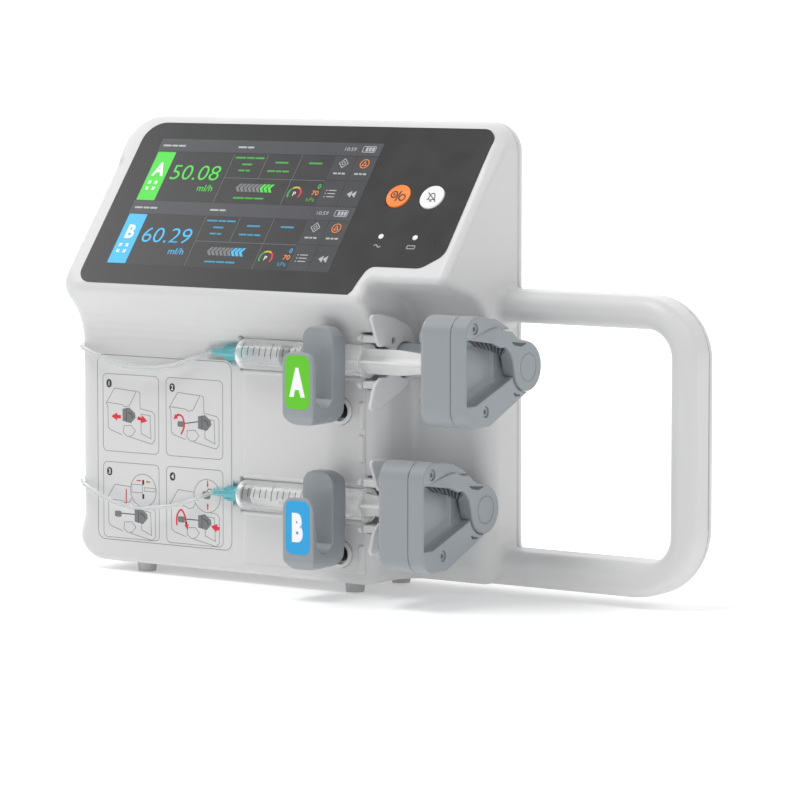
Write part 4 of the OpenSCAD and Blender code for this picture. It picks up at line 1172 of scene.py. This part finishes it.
def lever_field(x, y, z):
    zc = z - HZ
    hub = circle_field(y, zc, TUBE_Y, 0, 12.9)
    t = np.clip(((y - 1) * -14 + (zc - 4) * 11) / (14**2 + 11**2), 0, 1)
    arm = circle_field(y, zc, 1 - 14 * t, 4 + 11 * t, 8 - 3.6 * t)
    t = np.clip(((y + 13) * -12 + (zc - 15) * 3) / (12**2 + 3**2), 0, 1)
    reach = circle_field(y, zc, -13 - 12 * t, 15 + 3 * t, 4.4 - 1.2 * t)
    d = join(join(hub, arm, 5), reach, 2)
    d = join(d, polygon_field(BEAK, y, zc), 1.2)
    thick = END - 6.4 + 2.6 * ramp(-y, 20, 46)
    top = END + 1.4 - 1.2 * ramp(-y, 24, 47)
    d = both(both(d, thick - x, 0.6), x - top, 0.9)
    step = box_field(x, y, zc, (END - 8, -24, 19.6), (END - 0.4, -12, 26), 0.4)
    d = cut(d, step, 0.4)
    hollow = capsule_field(x, y, zc, (END - 3.4, -12.5, 17.6), (END - 3.4, -1, 12.6), 1.5)
    d = cut(d, hollow, 0.5)
    groove = circle_field(circle_field(y, zc, TUBE_Y, 0, 7.4), x, 0, END + 1.4, 0.4)
    return cut(d, groove, 0.1)


def flange_plate_field(x, y, z):
    zc = z - HZ
    d = np.maximum(polygon_field(PLATE_OUT, y, zc), -circle_field(y, zc, TUBE_Y, 0, 9.7))
    mouth = circle_field(y, zc, np.clip(y, -60, SYRINGE_Y), 0, 8.3)
    d = both(cut(d, mouth, 1.0), np.abs(x - PLATE_X) - 1.1, 0.9)
    d = cut(d, circle_field(y, zc, -6.9, 11.1, 1.9), 0.3)
    for s in (-1, 1):
        pad = box_field(x, y, zc, (FLANGE_X + 2.1, -21, s * 12.4 - 2), (PLATE_X, -10, s * 12.4 + 2), 0.6)
        d = join(d, pad, 0.6)
    return d


PLATE_X = box_mm("flange_plate_a")[1][0] - 1.1
PLATE_OUT = corner_round([
    (-28.6, 26.2, 2.2), (-18, 25.9, 8), (-6, 23.6, 8), (6.3, 19, 8), (10.6, 15.4, 3), (13.2, 10.5, 3),
    (13.8, 0, 10), (10.1, -11.1, 5), (3.1, -15.7, 5), (-8, -20.6, 6), (-18.7, -24.9, 5), (-27.3, -25.6, 2.2),
    (-28.6, -23.3, 2), (-24.2, -10.7, 8), (-20, -9), (-20, 8.6), (-22, 10.4, 6)])

ROD_LENGTH = 115
PUSH_X = HX - ROD_LENGTH


def plunger_field(x, y, z):
    yc, zc = np.abs(y - SYRINGE_Y), np.abs(z - HZ)
    reach = 6.9 - 1.3 * ramp(x, HX - 40, HX - 21)
    d = join(np.maximum(yc - 0.85, zc - reach), np.maximum(zc - 0.85, yc - reach), 2.6)
    d = np.maximum(d, slab_field(x, PUSH_X + 8, HX - 0.6))
    r = np.sqrt(yc**2 + zc**2)
    for x0, x1, rr in (
            (PUSH_X + 8, PUSH_X + 9.6, 6.6), (PUSH_X + 27, PUSH_X + 28.2, 6.7), (HX - 2.4, HX - 0.2, 9.4)):
        d = join(d, both(r - rr, slab_field(x, x0, x1), 0.4), 0.3)
    return join(d, both(r - 3, slab_field(x, PUSH_X + 4, PUSH_X + 8.4), 0.3), 0.2)


def node_grid(node, step):
    low, high = box_mm(node)
    return even_grid(low, high, step)


px_low, px_high = box_mm("plunger_a")
sets = [
    (solid("head_front_case_a", node_grid("head_front_a", step * 1.15), head_front_field),
     "grey_plastic", "pusher_", "head_front_"),
    (solid("head_rear_case_a", node_grid("head_rear_a", step * 0.95), head_rear_field),
     "grey_plastic", "pusher_", "head_rear_"),
    (solid("clutch_lever_skin_a", even_grid((HX + 23, -48, HZ - 13), (END + 1.5, 17, HZ + 23), step * 0.85),
           lever_field), "dark_plastic", "clutch_", "clutch_lever_"),
    (solid("flange_plate_skin_a", node_grid("flange_plate_a", step), flange_plate_field),
     "plate_white", "plate_", "flange_plate_"),
    (solid("plunger_rod_a", [
        grid_line((px_low[0] - 1, 0.8), (px_low[0] + 12, 2), (PUSH_X + 25, 0.7), (PUSH_X + 30, 2.2),
                  (HX - 4, 0.5), px_high[0] + 1),
        grid_line((SYRINGE_Y - 10, 0.5), SYRINGE_Y + 10),
        grid_line((HZ - 10, 0.5), HZ + 10)], plunger_field),
     "plunger_white", "pusher_", "plunger_"),
]
# Ribbed pad under the beak: the ribs are shape, its dark grey is painted shade of the beak's underside
grip = [slice_of([PAINTED_SHADE_TOP[0], PAINTED_SHADE_TOP[1], PAINTED_SHADE_TOP[2], PAINTED_SHADE_LOW[2], PAINTED_SHADE_LOW[1], PAINTED_SHADE_LOW[0]],
                 -2.6, -1.2, end_view(END, HZ))]
for k in range(8):
    t0, t1 = (k + 0.2) / 8, (k + 0.62) / 8
    quad = [along(PAINTED_SHADE_TOP, t0), along(PAINTED_SHADE_TOP, t1), along(PAINTED_SHADE_LOW, t1), along(PAINTED_SHADE_LOW, t0)]
    grip.append(slice_of(quad, -1.2, -0.4, end_view(END, HZ)))
# Dark crescent between the lever's arm and hub, and dark sliver below the hub on the head's end face: painted
# shade of those recesses
crescent = corner_round([
    (-12.5, 14.4, 0.3), (-9, 12.3, 1), (-3, 11.2, 2), (3.4, 12.9, 0.3), (-2, 13.1, 1), (-7, 13.7, 1)])
hub_shade_outline = corner_round([
    (-9.0, -11.8, 0.5), (-5, -13.9, 1.5), (-0.6, -14.4, 0.3), (-2.6, -15.2, 0.5), (-6.5, -15.0, 0.8)])
shade = [slice_of(crescent, 1.2, 1.5, end_view(END, HZ))]
hub_shade = [slice_of(hub_shade_outline, -0.5, 0.12, end_view(END, HZ))]
# Dark grey for the beak pad, the crescent and the sliver below the hub: painted shade
INK["grip"] = paint("ribbed grip", "4d5156", 0.5, 1200, 0.1)
sets += [(weld("lever_grip_a", grip), "dark_plastic", "clutch_", None),
         (weld("lever_shade_a", shade), "dark_plastic", "clutch_", None),
         (weld("head_notch_a", hub_shade), "grey_plastic", "pusher_", None)]
for ob, name, body, node in sets:
    travel_b = HEAD["b"] - HX if body in ("pusher_", "clutch_") else 0
    twin = copy_to(ob, ob.name[:-1] + "b", (travel_b, 0, shift_b))
    for piece, ch in ((ob, "a"), (twin, "b")):
        dress(piece, name, body + ch, None if node else INK["grip"])
        if node:
            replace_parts(piece, node + ch)

# ---------- syringes, tubes and screws ----------
TUBE_LENGTH = 173
for ch in "ab":
    h = AXIS[ch]
    hx = HEAD[ch]
    push = "pusher_" + ch
    x0, x1 = BARREL_X, FLANGE_X + 2
    barrel = lathe("barrel_skin_" + ch, [
        (x0 - 10, 1.1), (x0 - 10, 2.0), (x0, 2.2), (x0 + 0.2, 5.6), (x0 + 0.9, 7.4), (x0 + 2.2, 8.4),
        (x0 + 3.4, 8.5), (x1 - 1.9, 8.5), (x1 - 1.9, 9.0), (x1 - 1.6, 9.3), (x1, 9.3), (x1, 7.42),
        (x0 + 3, 7.42), (x0 + 1.6, 6.6), (x0 + 1.3, 4), (x0 + 1.2, 1.1)], SYRINGE_Y, h, 72, True)
    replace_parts(dress(barrel, "syringe_clear"), "barrel_" + ch)
    wing = corner_round([(-23.3, -14.6, 3), (-7.7, -14.6, 3), (-7.7, 14.6, 3), (-23.3, 14.6, 3)])
    wings = weld("barrel_wings_" + ch, [
        slice_of([p for p in wing if p[1] * side > 8.6], -2, -0.1, end_view(x1, h)) for side in (1, -1)])
    dress(soften(wings, 0.4), "plate_white")
    ticks = []
    for k in range(15):
        tx = x0 + 6.4 + 4 * k
        a0, a1 = (172, 232) if k % 5 == 0 else (180, 214)
        rings = []
        for i in range(9):
            a = math.radians(a0 + (a1 - a0) * i / 8)
            rings.append([(tx + dx, SYRINGE_Y + r * math.cos(a), h - r * math.sin(a))
                          for dx, r in ((-0.2, 8.5), (0.2, 8.5), (0.2, 8.58), (-0.2, 8.58))])
        ticks.append(tower(rings, flip=True))
    dress(weld("barrel_scale_" + ch, ticks), "syringe_clear", mat=INK["dark"])
    sx = hx - ROD_LENGTH
    seal = lathe("seal_skin_" + ch, [
        (sx, 0.01), (sx + 0.6, 4.2), (sx + 1.6, 7.2), (sx + 1.9, 7.36), (sx + 2.7, 7.36), (sx + 3.1, 6.7),
        (sx + 5.1, 6.7), (sx + 5.5, 7.36), (sx + 7.1, 7.36), (sx + 7.9, 6.5), (sx + 7.9, 0.01)], SYRINGE_Y, h)
    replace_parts(dress(seal, "seal_rubber", push), "seal_" + ch)
    luer = lathe("luer_skin_" + ch, [
        (x0 - 19.5, 1.25), (x0 - 19.5, 1.8), (x0 - 11.6, 2.1), (x0 - 11.2, 3.2), (x0 - 10.6, 3.6),
        (x0 - 3.7, 3.7), (x0 - 3.5, 4.4), (x0 - 1.3, 4.4), (x0 - 1.3, 2.3), (x0 - 10.2, 2.15),
        (x0 - 10.4, 1.25)], SYRINGE_Y, h, 48, True)
    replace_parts(dress(luer, "luer_teal"), "luer_" + ch)
    ribs = []
    for k in range(8):
        c, s = math.cos(k * math.tau / 8), math.sin(k * math.tau / 8)
        foot = [(SYRINGE_Y + c * rr - s * tt, h + s * rr + c * tt)
                for rr, tt in ((3.4, -0.35), (4.25, -0.35), (4.25, 0.35), (3.4, 0.35))]
        ribs.append(tower([[(x, a, b) for a, b in foot] for x in (x0 - 10.2, x0 - 4)]))
    dress(weld("luer_ribs_" + ch, ribs), "luer_teal")
    tube = lathe("drive_tube_skin_" + ch, [
        (hx - TUBE_LENGTH, 7.4), (hx - TUBE_LENGTH, 8.6), (hx - TUBE_LENGTH + 0.4, 9), (hx + 23.9, 9),
        (hx + 24, 7.4)], TUBE_Y, h, 64, True)
    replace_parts(dress(tube, "tube_paint", push), "drive_tube_" + ch)
    bush = lathe("tube_bush_" + ch, [
        (BLOCK - 3, 9.1), (BLOCK + 0.5, 9.1), (BLOCK + 0.8, 9.4), (BLOCK + 0.8, 10.6), (BLOCK + 0.3, 11),
        (BLOCK - 3, 11)], TUBE_Y, h, 64, True)
    dress(bush, "housing_white")
    heads = []
    for py, pz in SCREWS:
        rings = [[(hx + HEAD_DEPTH - w, a, b) for a, b in disc(py, h + pz, r, 36)]
                 for w, r in ((2.4, 2.6), (0.8, 2.6), (0.8, 1.3), (1.8, 1.3))]
        heads.append(tower(rings))
    caps = weld("head_screw_caps_" + ch, heads)
    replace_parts(dress(caps, "steel", push, MAT["dark_plastic"]), "head_screws_" + ch)

# ---------- CAD parts shown as they are ----------
for part in frame["record"]["subparts"]:
    ob = bpy.data.objects.get(part["node"])
    if ob and ob.type == "MESH":
        ob.data.materials.clear()
        ob.data.materials.append(MAT[part["material_slot"]])
for node, width in (("feet", 0.6), ("claw_top_a", 0.5), ("claw_top_b", 0.5), ("claw_bottom_a", 0.5),
                    ("claw_bottom_b", 0.5), ("ac_inlet", 0.4), ("shell_screws", 0.3)):
    soften(bpy.data.objects[node], width)

# ---------- stage: a pale floor 0.2 mm below the feet, bent up behind the object, and soft lights ----------
FLOOR_DROP = 0.0002
BEND = 1.5
profile = [(-6.0, 0.0), (3.0, 0.0)]
profile += [(3.0 + BEND * math.sin(math.radians(a)), BEND - BEND * math.cos(math.radians(a)))
            for a in range(6, 91, 6)]
profile.append((3.0 + BEND, 7.0))
turn = Matrix.Rotation(math.radians(35), 3, "Z")
v = [turn @ Vector((side, depth, rise - FLOOR_DROP)) for depth, rise in profile for side in (-8, 8)]
f = [[2 * i, 2 * i + 1, 2 * i + 3, 2 * i + 2] for i in range(len(profile) - 1)]
mesh = bpy.data.meshes.new("floor")
mesh.from_pydata(v, [], f)
mesh.polygons.foreach_set("use_smooth", [True] * len(mesh.polygons))
floor = put("floor", mesh)
mesh.materials.append(paint("pale floor", "f4f4f4", 0.6, 40, 0.0, glow=0.25))


def soft_light(name, place, aim, size, power):
    data = bpy.data.lights.new(name, "AREA")
    data.shape = "RECTANGLE"
    data.size, data.size_y = size
    data.energy = power
    ob = put(name, data)
    ob.location = place
    ob.rotation_euler = (Vector(place) - Vector(aim)).to_track_quat("Z", "Y").to_euler()


soft_light("key", (-0.5, -0.85, 2.8), (0, 0, 0.12), (1.2, 1.1), 35)
soft_light("card", (-1.75, -0.35, 1.6), (-0.1, 0, 0.2), (1.6, 0.6), 9)
soft_light("right", (2.2, 0.3, 2.0), (0, 0, 0.12), (1.2, 1.6), 14)
soft_light("backdrop", (0.2, 1.6, 2.8), (-1.6, 4.2, 2.0), (3, 2), 110)
world = bpy.data.worlds.new("studio")
bpy.context.scene.world = world
world.use_nodes = True
world.node_tree.nodes["Background"].inputs["Color"].default_value = (1, 1, 1, 1)
world.node_tree.nodes["Background"].inputs["Strength"].default_value = 0.45
bpy.context.scene.view_settings.view_transform = "Standard"
